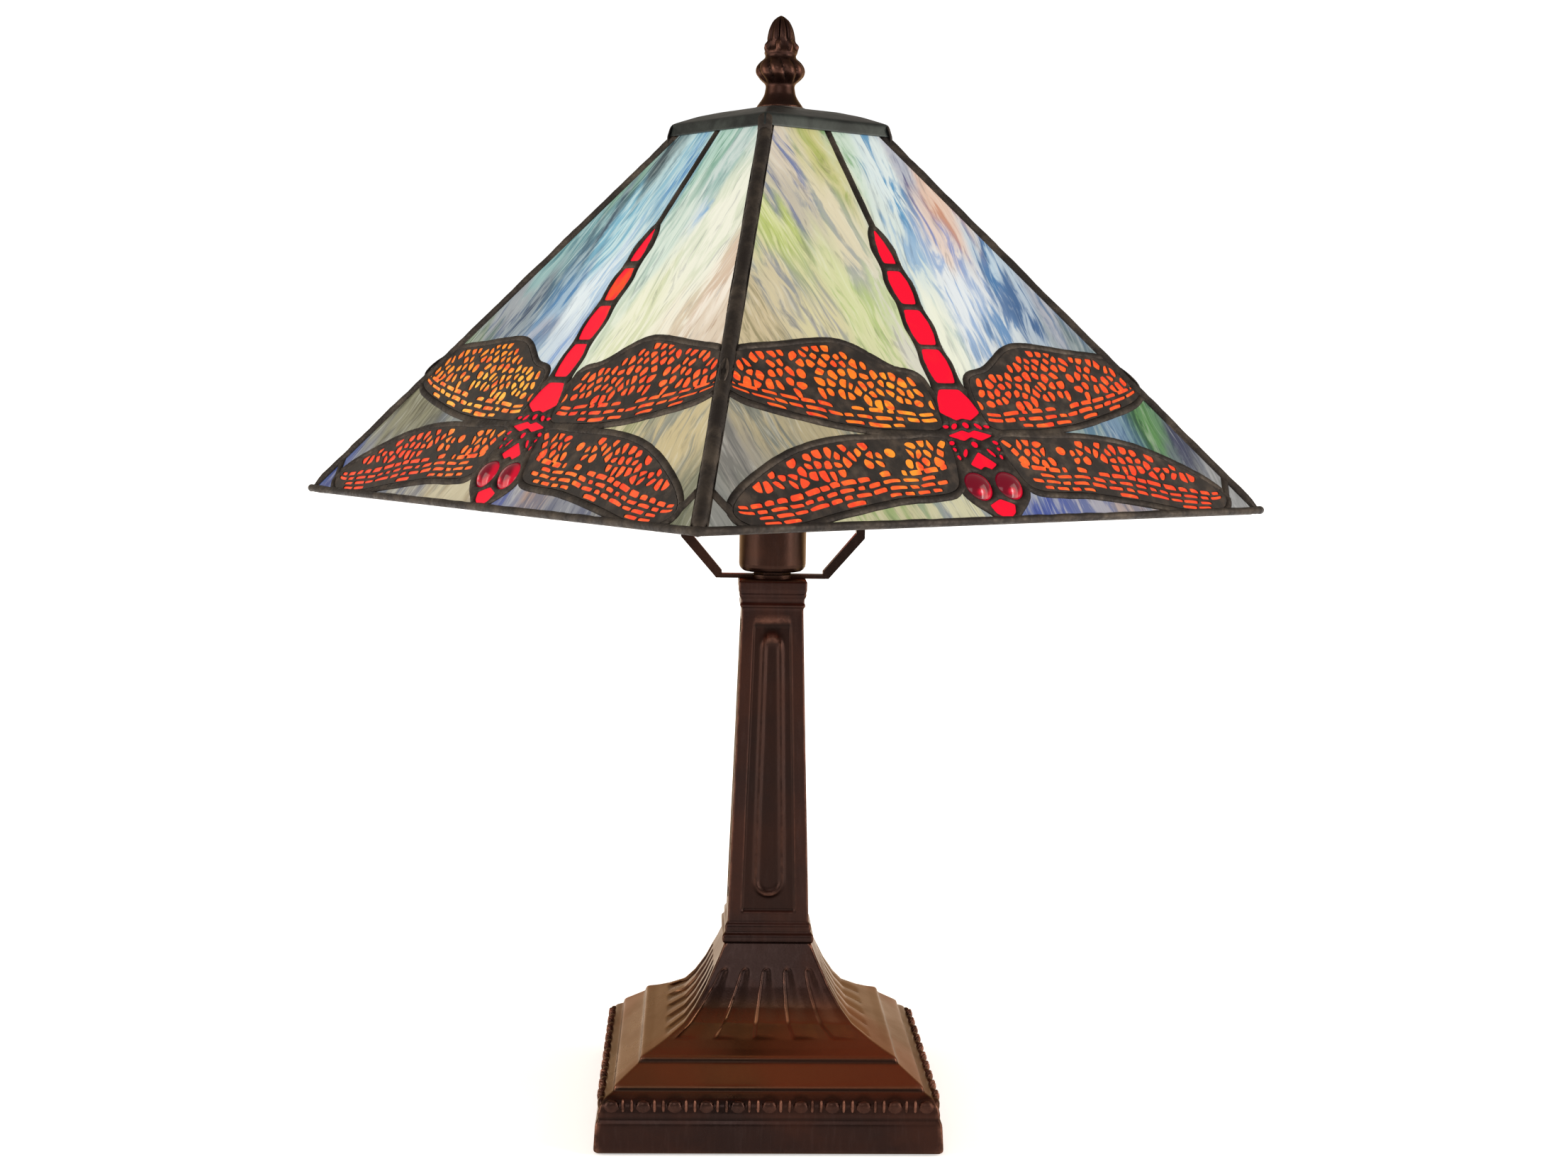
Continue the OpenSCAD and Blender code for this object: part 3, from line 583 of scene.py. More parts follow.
def panel_outlines():
    """Every closed outline of a panel, as lists by kind. Where they overlap, glass is cut out of the lead."""
    wings = [smooth_loop(w, WING_STEPS) for w in (UPPER_WING, LOWER_WING)]
    wings += [mirrored(w) for w in wings]
    seam = np.array([(-2.1, 160), (2.1, 160), (1.9, 240), (-1.9, 240)])
    corner = np.array([(145.6, 0), (150.4, 0), (164.4, 29), (159.6, 29)])
    root = np.array([(14, 46.8), (46, 47.6), (62, 49.4), (62, 51), (40, 50.8), (14, 51)])
    pieces = [cut_corners(cut_corners(both_halves(p), 1, 0.1), 1, 0.2) for p in BODY_PIECES]
    angles = np.arange(36) * math.tau / 36
    for u, v, reach, tall, slant in BODY_DOTS:
        a = angles[::3]
        x, y = reach * np.cos(a), tall * np.sin(a)
        dot = np.stack([u + x * math.cos(slant) - y * math.sin(slant),
                        v + x * math.sin(slant) + y * math.cos(slant)], 1)
        pieces += [dot, mirrored(dot)] if u else [dot]
    eye = np.stack([EYE[0] + EYE_R * np.cos(angles), EYE[1] + EYE_R * np.sin(angles)], 1)
    return {
        "panel": [refined(panel_loop(0), 6)],
        "window": [refined(panel_loop(1), 6)],
        "lead": [wavering(grown(w, WING_LEAD_OUT), 0.35, 7, 3) for w in wings]
        + [wavering(refined(cut_corners(both_halves(BODY_LEAD), 2, 0.2), 3), 0.35, 6, 8)]
        + [wavering(refined(strip, 5), 0.3, 9, 2)
           for strip in (seam, corner, mirrored(corner), root, mirrored(root))],
        "wing": [grown(w, -WING_LEAD_IN) for w in wings],
        "red": pieces,
        "eye": [eye, mirrored(eye)],
    }


def layout():
    """Triangles of the lead, the background glass, the wing glass and the red glass of a panel.

    Gives each part's points and triangles.
    """
    outlines = panel_outlines()
    loops, kinds = [], []
    for kind, members in outlines.items():
        loops += [anticlockwise(m) for m in members]
        kinds += [kind] * len(members)
    coarse = hex_grid((-170, 3), (170, 234), GLASS_STEP)
    fine = hex_grid((-170, 1), (170, 236), LEAD_STEP)
    fine = fine[inside(fine, outlines["panel"][0])]
    covered = np.zeros(len(fine), bool)
    for loop in outlines["lead"]:
        covered |= inside(fine, loop)
    for loop in outlines["wing"] + outlines["red"] + outlines["eye"]:
        covered &= ~inside(fine, loop)
    covered |= ~inside(fine, outlines["window"][0])
    points = np.concatenate(loops + [coarse, fine[covered]])
    faces, start = [], 0
    for loop in loops:
        faces.append(list(range(start, start + len(loop))))
        start += len(loop)
    found = delaunay_2d_cdt([Vector(p) for p in points], [], faces, 1, 1e-4, True)
    flat, triangles, holders = np.array([tuple(p) for p in found[0]]), found[2], found[5]
    parts = {"lead": [], "sky": [], "wing": [], "red": []}
    for triangle, held in zip(triangles, holders):
        within = {kinds[h] for h in held}
        if "panel" not in within or "eye" in within:
            continue
        if "window" not in within:
            parts["lead"].append(triangle)
        elif "red" in within:
            parts["red"].append(triangle)
        elif "wing" in within:
            parts["wing"].append(triangle)
        elif "lead" in within:
            parts["lead"].append(triangle)
        else:
            parts["sky"].append(triangle)
    return {kind: trimmed(flat, members) for kind, members in parts.items()}


def trimmed(points, faces):
    """Only the points that the faces use, with the faces renumbered."""
    used = sorted({i for f in faces for i in f})
    number = {old: new for new, old in enumerate(used)}
    return points[used], [[number[i] for i in f] for f in faces]


def rim_edges(faces):
    """Directed edges that only one face has."""
    edges = {(f[i], f[(i + 1) % len(f)]) for f in faces for i in range(len(f))}
    return [e for e in edges if (e[1], e[0]) not in edges]


def slab(flat, faces, top, back, shift=None):
    """Closed slab over a flat triangulation, from a back depth to a top depth.

    A shift moves the top points sideways.
    """
    faces = [f if turn(flat, f) > 0 else f[::-1] for f in faces]
    n = len(flat)
    upper = flat if shift is None else flat + shift
    points = np.concatenate([np.column_stack([upper, np.broadcast_to(top, n)]),
                             np.column_stack([flat, np.broadcast_to(back, n)])])
    walls = [[b, a, a + n, b + n] for a, b in rim_edges(faces)]
    return points, [list(f) for f in faces] + [[i + n for i in reversed(f)] for f in faces] + walls


def turn(flat, face):
    a, b, c = (flat[i] for i in face[:3])
    return (b[0] - a[0]) * (c[1] - a[1]) - (c[0] - a[0]) * (b[1] - a[1])


# ---- pierced wings ----

def clip(polygon, point, normal):
    """The part of a convex polygon on the side of the line that the normal points away from."""
    kept = []
    for a, b in zip(polygon, polygon[1:] + polygon[:1]):
        da, db = (sum(n * (x - p) for n, x, p in zip(normal, q, point)) for q in (a, b))
        if da <= 0:
            kept.append(a)
        if (da < 0) != (db < 0) and abs(da - db) > 1e-12:
            t = da / (da - db)
            kept.append((a[0] + (b[0] - a[0]) * t, a[1] + (b[1] - a[1]) * t))
    return kept


def span_at(loop, u):
    """Lowest and highest v of an outline at u."""
    hits = []
    for a, b in zip(loop, np.roll(loop, -1, 0)):
        if (a[0] <= u) != (b[0] <= u):
            hits.append(a[1] + (u - a[0]) / (b[0] - a[0]) * (b[1] - a[1]))
    return (min(hits), max(hits)) if len(hits) > 1 else None


# Rows of long openings along a wing's lower edge: the middle of a row, and its openings' height and length
WING_ROWS = [(2.3, 2.5, 9.0), (6.3, 2.6, 8.6), (10.4, 2.7, 7.8), (14.9, 3.5, 6.6)]
# Height of a wing that the rows are spaced for. They close up where it is narrower.
WING_HEIGHT = 42
# The other openings: their spacing, how far each strays from it, where the noise leaves a black patch, and
# the metal left beside the wing's edge
SITE_STEP = 5.9
SITE_STRAY = 1.7
BARE_ABOVE = 0.34
EDGE_METAL = 1.1


def row_openings(loop, rows, chance):
    """Long openings, like bricks, in rows that follow the wing's lower edge."""
    left, right = loop[:, 0].min() + 0.9, loop[:, 0].max() - 0.9
    seed = loop[0, 1]

    def height(u, above):
        low, high = span_at(loop, min(max(u, left + 4), right))
        return low + above * ((high - low) / WING_HEIGHT) ** 0.5 + 0.9 * lump((u, above * 0.5, 7), 14, seed)

    cells = []
    for middle, tall, length in WING_ROWS[:rows]:
        u = left + chance.uniform(-1, 3)
        while u < right - 2:
            reach = length * chance.uniform(0.55, 1.35)
            low = middle - tall / 2 * chance.uniform(0.85, 1.05)
            high = middle + tall / 2 * chance.uniform(0.8, 1.1)
            lean = chance.uniform(-0.8, 0.8)
            ends = [chance.uniform(0, 0.28) * tall for _ in range(4)]
            outline = [(u + lean, low + ends[0]), (u + lean + 0.5, low),
                       (u + reach * 0.5, low + chance.uniform(-0.1, 0.3)), (u + reach - 0.5, low),
                       (u + reach, low + ends[1] + 0.3), (u + reach - lean, high - ends[2]),
                       (u + reach * 0.5, high - chance.uniform(-0.1, 0.3)),
                       (u + lean * 0.5 + 0.2, high - ends[3])]
            if chance.random() > 0.07 and u + reach < right:
                cells.append([(x, height(min(max(x, left), right), y)) for x, y in outline])
            u += reach + chance.uniform(1.1, 1.9)
    return cells


def loose_openings(loop, rows, chance):
    """Smaller openings of every shape over the rest of the wing, with black patches between them."""
    low, high = loop.min(axis=0), loop.max(axis=0)
    start = WING_ROWS[rows - 1][0] + WING_ROWS[rows - 1][1] / 2 + 1.9
    sites = []
    for u, v in hex_grid(low, high, SITE_STEP):
        u, v = u + chance.uniform(-SITE_STRAY, SITE_STRAY), v + chance.uniform(-SITE_STRAY, SITE_STRAY)
        span = span_at(loop, u)
        if not span or span[1] - v <= 2.4 or lump((u, v, 3), 8, low[1]) >= BARE_ABOVE:
            continue
        if v - span[0] > start * ((span[1] - span[0]) / WING_HEIGHT) ** 0.5:
            sites.append((u, v))
    ends, sense = np.roll(loop, -1, 0), 1 if area(loop) > 0 else -1
    cells = []
    for u, v in sites:
        reach, tall = chance.uniform(2.3, 4.9), chance.uniform(1.6, 3.1)
        slant = chance.choice((0.1, 0.9, 1.3, 2.4)) + chance.uniform(-0.3, 0.3)
        polygon = []
        for i in range(12):
            a = i * math.tau / 12
            x, y = reach * math.cos(a), tall * math.sin(a)
            polygon.append((u + x * math.cos(slant) - y * math.sin(slant),
                            v + x * math.sin(slant) + y * math.cos(slant)))
        web = chance.uniform(1.1, 1.6)
        for other in sites:
            away = math.hypot(other[0] - u, other[1] - v)
            if 0 < away < 9:
                normal = ((other[0] - u) / away, (other[1] - v) / away)
                halfway = (u + normal[0] * (away - web) / 2, v + normal[1] * (away - web) / 2)
                polygon = clip(polygon, halfway, normal)
        near = np.linalg.norm((loop + ends) / 2 - (u, v), axis=1) < 9
        for a, b in zip(loop[near], ends[near]):
            along = (b - a) / np.linalg.norm(b - a)
            outward = (along[1] * sense, -along[0] * sense)
            beside = (a[0] - outward[0] * EDGE_METAL, a[1] - outward[1] * EDGE_METAL)
            polygon = clip(polygon, beside, outward)
        cells.append(polygon)
    return cells


def wing_cells(loop, rows, seed):
    """Outlines of the openings pierced in a wing."""
    chance = random.Random(seed)
    cells = []
    for polygon in row_openings(loop, rows, chance) + loose_openings(loop, rows, chance):
        if len(polygon) < 3 or abs(area(np.array(polygon))) < 1.6:
            continue
        cell = cut_corners(polygon, 1, 0.25)
        if inside(grown(cell, 0.6), loop).all():
            cells.append(cell[np.linalg.norm(cell - np.roll(cell, 1, 0), axis=1) > 0.15])
    return cells


def pierced(loop, cells):
    """Triangles of a wing's plate between its openings, with how far each point moves to bevel an opening."""
    rings = [anticlockwise(ring) for ring in [loop] + cells]
    points = np.concatenate(rings)
    faces, start = [], 0
    for ring in rings:
        faces.append(list(range(start, start + len(ring))))
        start += len(ring)
    found = delaunay_2d_cdt([Vector(p) for p in points], [], faces, 1, 1e-5, True)
    flat = np.array([tuple(p) for p in found[0]])
    plate = [t for t, held in zip(found[2], found[5]) if set(held) == {0}]
    shift = np.zeros_like(flat)
    for ring in cells:
        moved = grown(ring, 0.2) - ring
        for p, s in zip(ring, moved):
            shift[np.argmin(np.sum((flat - p) ** 2, 1))] = s
    flat_used = sorted({i for f in plate for i in f})
    shift = shift[flat_used]
    return trimmed(flat, plate) + (shift,)


# ---- glass colours ----

# Soft patches of colour in a panel's own plane. For the background glass each has a main colour and a streak
# colour, 0 to 255, then u, v, and how far it reaches in u and v. The wing glass has one colour.
RIGHT_SKY = [
    ((208, 196, 176), (112, 122, 160), -38, 216, 10, 24), ((196, 192, 130), (160, 170, 84), -14, 216, 9, 30),
    ((188, 180, 162), (120, 126, 150), -44, 188, 9, 22), ((208, 212, 154), (180, 192, 112), -60, 164, 12, 20),
    ((216, 206, 176), (164, 166, 160), -20, 166, 9, 34), ((204, 192, 158), (142, 144, 146), -74, 134, 12, 18),
    ((198, 182, 146), (148, 138, 104), -98, 112, 14, 14),
    ((208, 200, 158), (160, 158, 150), -58, 114, 12, 16),
    ((208, 212, 162), (178, 196, 120), -32, 124, 11, 26), ((208, 206, 192), (196, 206, 156), -11, 116, 6, 30),
    ((196, 214, 196), (108, 158, 100), 6, 218, 5, 16), ((214, 226, 224), (84, 146, 188), 20, 198, 9, 22),
    ((176, 180, 190), (78, 88, 130), 39, 206, 4, 24), ((220, 190, 170), (196, 144, 118), 50, 192, 8, 22),
    ((208, 220, 214), (150, 180, 206), 18, 158, 9, 26), ((224, 204, 190), (140, 148, 190), 42, 160, 8, 20),
    ((182, 202, 214), (70, 118, 164), 66, 148, 9, 10), ((168, 184, 198), (66, 100, 142), 74, 122, 12, 14),
    ((222, 228, 230), (156, 180, 212), 38, 130, 12, 22), ((230, 232, 212), (204, 214, 196), 14, 106, 7, 24),
    ((204, 212, 214), (104, 142, 182), 50, 106, 12, 12), ((166, 168, 176), (104, 124, 150), 94, 128, 10, 16),
    ((136, 148, 150), (94, 112, 118), 104, 104, 14, 10), ((168, 156, 124), (118, 120, 110), -92, 54, 30, 10),
    ((178, 160, 120), (128, 128, 112), -66, 50, 14, 8), ((142, 138, 130), (116, 114, 108), -142, 42, 9, 12),
    ((134, 152, 150), (92, 124, 140), 76, 52, 14, 8), ((110, 138, 160), (66, 96, 130), 98, 54, 12, 10),
    ((86, 132, 76), (44, 84, 50), 122, 54, 7, 14), ((94, 98, 112), (58, 62, 84), 137, 42, 8, 12),
    ((188, 184, 146), (146, 162, 108), -68, 8, 20, 9), ((198, 194, 160), (136, 142, 146), -28, 8, 16, 9),
    ((146, 150, 170), (62, 80, 150), 28, 9, 12, 8), ((160, 158, 168), (98, 108, 148), 56, 8, 14, 8),
    ((172, 154, 146), (126, 122, 132), 82, 6, 12, 8), ((152, 152, 152), (126, 128, 126), 162, 10, 10, 14),
    ((132, 132, 126), (108, 110, 104), -162, 10, 10, 14),
]
LEFT_SKY = [
    ((128, 168, 146), (70, 122, 98), -52, 214, 9, 18), ((112, 134, 136), (52, 70, 76), -31, 214, 5, 18),
    ((188, 214, 214), (140, 184, 200), -16, 206, 7, 24), ((160, 198, 212), (84, 138, 184), -6, 204, 4, 14),
    ((168, 198, 198), (110, 156, 160), -64, 182, 9, 16), ((104, 126, 136), (46, 64, 82), -46, 178, 6, 26),
    ((142, 178, 176), (78, 128, 136), -76, 152, 10, 16), ((130, 142, 148), (60, 80, 104), -68, 124, 7, 18),
    ((150, 156, 160), (90, 104, 130), -88, 122, 10, 14), ((140, 150, 132), (92, 116, 84), -112, 104, 12, 10),
    ((188, 218, 220), (116, 176, 198), -34, 170, 9, 24), ((220, 230, 232), (176, 200, 220), -24, 130, 9, 24),
    ((150, 178, 198), (72, 126, 172), -46, 120, 7, 16), ((184, 200, 216), (128, 158, 200), -16, 100, 6, 12),
    ((164, 170, 182), (116, 132, 156), -44, 102, 10, 7), ((176, 206, 192), (112, 160, 136), 10, 216, 6, 18),
    ((196, 210, 204), (150, 182, 174), 28, 208, 9, 22), ((200, 214, 216), (112, 162, 206), 32, 174, 5, 9),
    ((208, 222, 208), (176, 198, 184), 18, 150, 9, 28), ((234, 234, 216), (214, 220, 196), 48, 166, 14, 32),
    ((236, 226, 210), (208, 184, 160), 82, 134, 7, 20), ((234, 228, 208), (212, 196, 170), 64, 112, 9, 10),
    ((216, 200, 178), (182, 156, 130), 98, 108, 12, 10), ((232, 232, 206), (212, 216, 178), 32, 116, 13, 26),
    ((126, 124, 98), (86, 84, 62), -110, 56, 22, 10), ((124, 128, 124), (92, 98, 104), -74, 54, 16, 8),
    ((198, 188, 150), (150, 150, 108), 76, 54, 20, 9), ((194, 178, 136), (138, 138, 124), 112, 50, 20, 12),
    ((150, 146, 134), (108, 112, 122), -84, 8, 18, 9), ((192, 182, 152), (166, 152, 122), -34, 8, 20, 9),
    ((118, 122, 142), (84, 94, 146), 20, 9, 10, 8), ((170, 142, 126), (118, 112, 120), 40, 9, 7, 8),
    ((128, 130, 138), (96, 100, 118), 72, 8, 24, 8), ((78, 94, 142), (46, 62, 120), -164, 12, 9, 14),
    ((122, 122, 100), (94, 96, 76), 162, 12, 10, 14),
]
RIGHT_WINGS = [
    ((255, 166, 44), -34, 64, 26, 12), ((248, 128, 34), -66, 80, 24, 14), ((242, 96, 36), -108, 82, 26, 16),
    ((226, 34, 40), -92, 56, 34, 5), ((255, 154, 46), -52, 36, 20, 9), ((242, 96, 44), -30, 22, 24, 10),
    ((240, 84, 44), -116, 24, 34, 16), ((240, 92, 38), 60, 78, 60, 22), ((244, 104, 42), 40, 36, 30, 14),
    ((236, 76, 38), 112, 24, 34, 18),
]
LEFT_WINGS = [
    ((255, 194, 78), -56, 68, 34, 10), ((255, 176, 62), -30, 78, 18, 16), ((250, 146, 44), -84, 90, 40, 10),
    ((248, 128, 50), -40, 36, 26, 12), ((238, 78, 46), -116, 22, 36, 18), ((242, 100, 44), 66, 82, 60, 16),
    ((234, 66, 44), 30, 56, 24, 9), ((248, 124, 48), 40, 34, 30, 12), ((240, 92, 48), 116, 22, 36, 16),
]
RED = (255, 0, 48)
ORANGE = (250, 84, 30)


def painted(points, patches, flip):
    """Colour of each point from soft patches."""
    total = np.full((len(points), 1), 1e-9)
    colour = np.zeros((len(points), 4))
    stray = np.array([(lump((u, v * 0.14, 2), 5, 1.5), lump((u, v * 0.14, 7), 6, 4.5)) for u, v in points])
    for tone, u, v, reach_u, reach_v in patches:
        away = (((points[:, 0] * flip + 7 * stray[:, 0] - u) / reach_u) ** 2
                + ((points[:, 1] + 22 * stray[:, 1] - v) / reach_v) ** 2)
        weight = 1 / (0.15 + away[:, None]) ** 2
        colour += weight * np.array(rgb(*tone))
        total += weight
    return colour / total


def flow_of(points, flip, tilt, seed):
    """Streak direction: up the slope, and leaning over one half of a panel."""
    u, v = points[:, 0] * flip, points[:, 1]
    lean = tilt * (v - 100) * (1 - smoothstep(-40, 20, u))
    flat = np.column_stack([u, v, 0 * u])
    bend = np.array([5 * lump(p, 38, seed) + 0.8 * lump(p, 12, seed + 3) for p in flat])
    return np.column_stack([u + lean + bend, v, np.full(len(points), seed)])


def glass_attributes(points, milk, streak, flip, tilt, seed):
    """Point attributes of a glass slab whose points are in the panel's plane."""
    flat = points[:, :2]
    made = {"flow": ("FLOAT_VECTOR", flow_of(flat, flip, tilt, seed)),
            "milk": ("FLOAT_COLOR", painted(flat, milk, flip))}
    if streak:
        made["streak"] = ("FLOAT_COLOR", painted(flat, streak, flip))
    return made


def lead_surface(flat, edges, seed):
    """Height of the solder over each point: round along its edges, and uneven on top."""
    depth = distance_to(flat, edges[:, 0], edges[:, 1])
    rise = np.sqrt(np.maximum(0, 1 - (1 - np.minimum(depth, LEAD_ROUND) / LEAD_ROUND) ** 2))
    uneven = np.array([0.28 * lump((u, v, seed), 9, seed) + 0.16 * lump((u, v, seed), 2.6, seed)
                       for u, v in flat])
    return GLASS_TOP + 0.06 + rise * (1.0 + uneven)


def build_panel(k, parts, plates):
    """All the pieces of one panel of the shade."""
    number = k + 1
    flip = 1 if k >= 2 else -1
    left_kind = k % 2 == 0
    sky, wings, tilt = (LEFT_SKY, LEFT_WINGS, -0.26) if left_kind else (RIGHT_SKY, RIGHT_WINGS, 0.17)
    milk, streak = ([(patch[i],) + patch[2:] for patch in sky] for i in (0, 1))
    seed = 3.7 * k + 1.3

    flat, faces = parts["lead"]
    edges = np.array([(flat[a], flat[b]) for a, b in rim_edges(faces)])
    top = lead_surface(flat, edges, seed)
    back = GLASS_BACK - 0.2 - 0.5 * (top - GLASS_TOP)
    points, solid = slab(flat, faces, top, back)
    make(f"lead_lines_{number}", place(k, points), solid, "shade", "lead", [f"lead_{number}"], 50)

    tail_tone = [(RED, 0, 60, 90, 200)]
    if left_kind:
        tail_tone = [(RED, 0, 60, 40, 60), (ORANGE, 0, 134, 6, 7), (RED, 0, 156, 6, 8), (RED, 0, 110, 6, 10)]
    for kind, name, slot, rise, main, second in (
            ("sky", "background_glass", "sky_glass", 0, milk, streak),
            ("wing", "wing_panes", "wing_glass", 0, wings, None),
            ("red", "body_panes", "body_glass", 0.2, tail_tone, None)):
        flat, faces = parts[kind]
        points, solid = slab(flat, faces, GLASS_TOP + rise, GLASS_BACK)
        make(f"{name}_{number}", place(k, points), solid, "shade", slot, [f"{slot}_{number}"], 40,
             glass_attributes(points, main, second, flip, tilt, seed))

    points, solid = [], []
    for flat, faces, shift in plates:
        uneven = np.array([0.12 * lump((u, v, seed), 8, seed) for u, v in flat])
        append(points, solid, *slab(flat, faces, FILIGREE_TOP + uneven, GLASS_TOP + 0.02, shift))
    make(f"wing_filigree_{number}", place(k, points), solid, "shade", "filigree", [f"filigree_{number}"], 35)
    build_eyes(k)


def build_eyes(k):
    """Two domed cabochons."""
    points, faces, glow = [], [], []
    around, rings = 32, 9
    for side in (-1, 1):
        start = len(points)
        for ring in range(rings + 1):
            lift = DOME_EDGE * ring / rings
            r = DOME_R * math.sin(lift)
            w = GLASS_TOP + DOME_R * (math.cos(lift) - math.cos(DOME_EDGE))
            for i in range(around if ring else 1):
                a = i * math.tau / around
                u, v = r * math.cos(a), r * math.sin(a)
                points.append((EYE[0] * side + u, EYE[1] + v, w))
                # This attribute holds a painted lit crescent near the dome's edge and a painted highlight
                # spot
                crescent_highlight = 0.55 * smoothstep(3.2, 6.4, math.hypot(u, v))
                crescent_highlight *= smoothstep(-0.3, 0.8, math.cos(a + 0.3))
                highlight_spot = math.exp(-((u + 1.8) ** 2 / 3.2 + (v + 4.2) ** 2 / 1.7))
                glow.append(max(float(crescent_highlight), highlight_spot))
        for i in range(around):
            a = i * math.tau / around
            points.append((EYE[0] * side + EYE_R * math.cos(a), EYE[1] + EYE_R * math.sin(a), GLASS_BACK))
            glow.append(0.3)
        for i in range(around):
            after = (i + 1) % around
            faces.append([start, start + 1 + i, start + 1 + after])
            for ring in range(rings):
                low = start + 1 + ring * around
                faces.append([low + i, low + around + i, low + around + after, low + after])
        faces.append([start + 1 + rings * around + i for i in reversed(range(around))])
    make(f"eye_cabochons_{k + 1}", place(k, points), faces, "shade", "eye_glass", [f"eyes_{k + 1}"], 60,
         {"glow": ("FLOAT", glow)})


def sweep(path, outwards, section, closed):
    """Tube along a path.

    outwards are unit vectors across it, and section(i, a) gives the tube's reach at an angle.
    """
    path, outwards = np.asarray(path, float), np.asarray(outwards, float)
    n, sides = len(path), 14
    ahead = np.roll(path, -1, 0) if closed else np.vstack([path[1:], path[-1:]])
    behind = np.roll(path, 1, 0) if closed else np.vstack([path[:1], path[:-1]])
    along = ahead - behind
    along /= np.linalg.norm(along, axis=1, keepdims=True)
    across = np.cross(along, outwards)
    across /= np.linalg.norm(across, axis=1, keepdims=True)
    points = []
    for i in range(n):
        for j in range(sides):
            a = j * math.tau / sides
            wide, tall = section(i, a)
            points.append(path[i] + across[i] * wide * math.cos(a) + outwards[i] * tall * math.sin(a))
    return points, ring_faces(n, sides, closed)


def cap_blob(i, a):
    """Solder that runs up over a corner of the cap and ends round."""
    full = math.sqrt(max(0.02, 1 - max(0, (i - 8) / 3.2) ** 2))
    return 3.5 * full, 0.75 * full


def build_solder():
    """Beads of solder along the ridges and the rim."""
    drop = math.tan(SLOPE)
    points, faces = [], []
    for k in range(4):
        turned = SHADE_TURN + math.pi / 4 + k * math.pi / 2
        heights = np.arange(RIM_Z + 2.4, CAP_Z + 5, 2.2)
        radius = math.sqrt(2) * (SHADE_HALF - (heights - RIM_Z) / drop)
        lean = math.atan2(drop, math.sqrt(2))
        cos, sin = math.cos(turned), math.sin(turned)
        outward = np.array([math.sin(lean) * cos, math.sin(lean) * sin, math.cos(lean)])
        path = np.column_stack([radius * cos, radius * sin, heights]) - outward * 2.7
        outer = np.repeat(outward[None], len(path), 0)

        def section(i, a, k=k, path=path):
            swell = 1 + 0.1 * lump(path[i], 13, k) + 0.08 * lump(path[i], 4, k + 2)
            end = min(1, 0.55 + 0.2 * i)
            return 3.3 * swell * end, (2.8 if math.sin(a) > 0 else 3.2) * swell * end

        tubes = [sweep(path, outer, section, False)]
        level = np.linspace(-4, 5.9, 12)
        reach = math.sqrt(2) * (CAP_HALF - 1.5) + 0.6 - 0.3 * np.maximum(level, 0)
        path = np.column_stack([reach * cos, reach * sin, CAP_Z + level])
        outer = np.repeat([[cos, sin, 0.0]], len(path), 0)
        tubes.append(sweep(path, outer, cap_blob, False))
        for tube in tubes:
            append(points, faces, *tube)
    make("ridge_solder", points, faces, "shade", "lead", ["ridge_seams"])

    half = SHADE_HALF - 1.8 * math.cos(SLOPE) - 0.4
    corner = 3.0
    per_side = 110
    path, outer = [], []
    for k in range(4):
        turned = SHADE_TURN + k * math.pi / 2
        side = [(half, y, RIM_Z + 1.5) for y in np.linspace(-half + corner, half - corner, per_side)]
        path += rotated(side, turned)
        outer += [(math.cos(turned), math.sin(turned), 0)] * per_side
        a = turned + math.pi / 4
        reach = math.sqrt(2) * (half - corner) + corner
        path.append((reach * math.cos(a), reach * math.sin(a), RIM_Z + 1.5))
        outer.append((math.cos(a), math.sin(a), 0))

    def rim(i, a):
        swell = 1 + 0.16 * lump(path[i], 11, 4) + 0.1 * lump(path[i], 3.4, 6)
        swell += 0.2 * (i % (per_side + 1) == per_side)
        return 1.8 * swell, 1.9 * swell

    points, faces = sweep(path, outer, rim, True)
    make("rim_solder", points, faces, "shade", "lead", ["bottom_rim"])


def build_shade():
    parts = layout()
    plates = []
    for control, rows, seed in ((UPPER_WING, 3, 11), (LOWER_WING, 4, 23)):
        loop = grown(smooth_loop(control, WING_STEPS), -WING_LEAD_IN)
        cells = wing_cells(loop, rows, seed)
        plates.append(pierced(loop, cells))
        plates.append(pierced(mirrored(loop), [mirrored(c) for c in cells]))
    for k in range(4):
        build_panel(k, parts, plates)
    build_solder()
    build_cap()


# ---- square castings ----

def fine_profile(profile, step, fine=()):
    """Half widths and heights with points at most a step apart, and its corners a little rounded."""
    out = [profile[0]]
    for (w0, z0), (w1, z1) in zip(profile, profile[1:]):
        close = any(low <= (z0 + z1) / 2 <= high for low, high in fine)
        length = math.hypot(w1 - w0, z1 - z0)
        pieces = max(2, math.ceil(length / (step if close else step * 2.5)))
        bevel = min(0.5, 0.7 / length)
        marks = sorted({i / pieces for i in range(1, pieces)} | {bevel, 1 - bevel})
        out += [(w0 + (w1 - w0) * t, z0 + (z1 - z0) * t) for t in marks + [1.0]]
    p = np.array(out)
    for _ in range(2):
        p[1:-1] = 0.5 * p[1:-1] + 0.25 * (p[:-2] + p[2:])
    return p


def square_rings(profile, columns, corner, relief):
    """Points and faces of a closed square casting. relief(x, z, half) is how far a face stands out."""
    points = []
    bends = 3
    for half, z in profile:
        flat = half - corner
        for face in range(4):
            row = [(x, -half - relief(x, z, half), z) for x in np.linspace(-flat, flat, columns)]
            for i in range(1, bends):
                a = -math.pi / 2 + math.pi / 2 * i / bends
                row.append((flat + corner * math.cos(a), -flat + corner * math.sin(a), z))
            points += rotated(row, face * math.pi / 2)
    return points, ring_faces(len(profile), 4 * (columns + bends - 1))


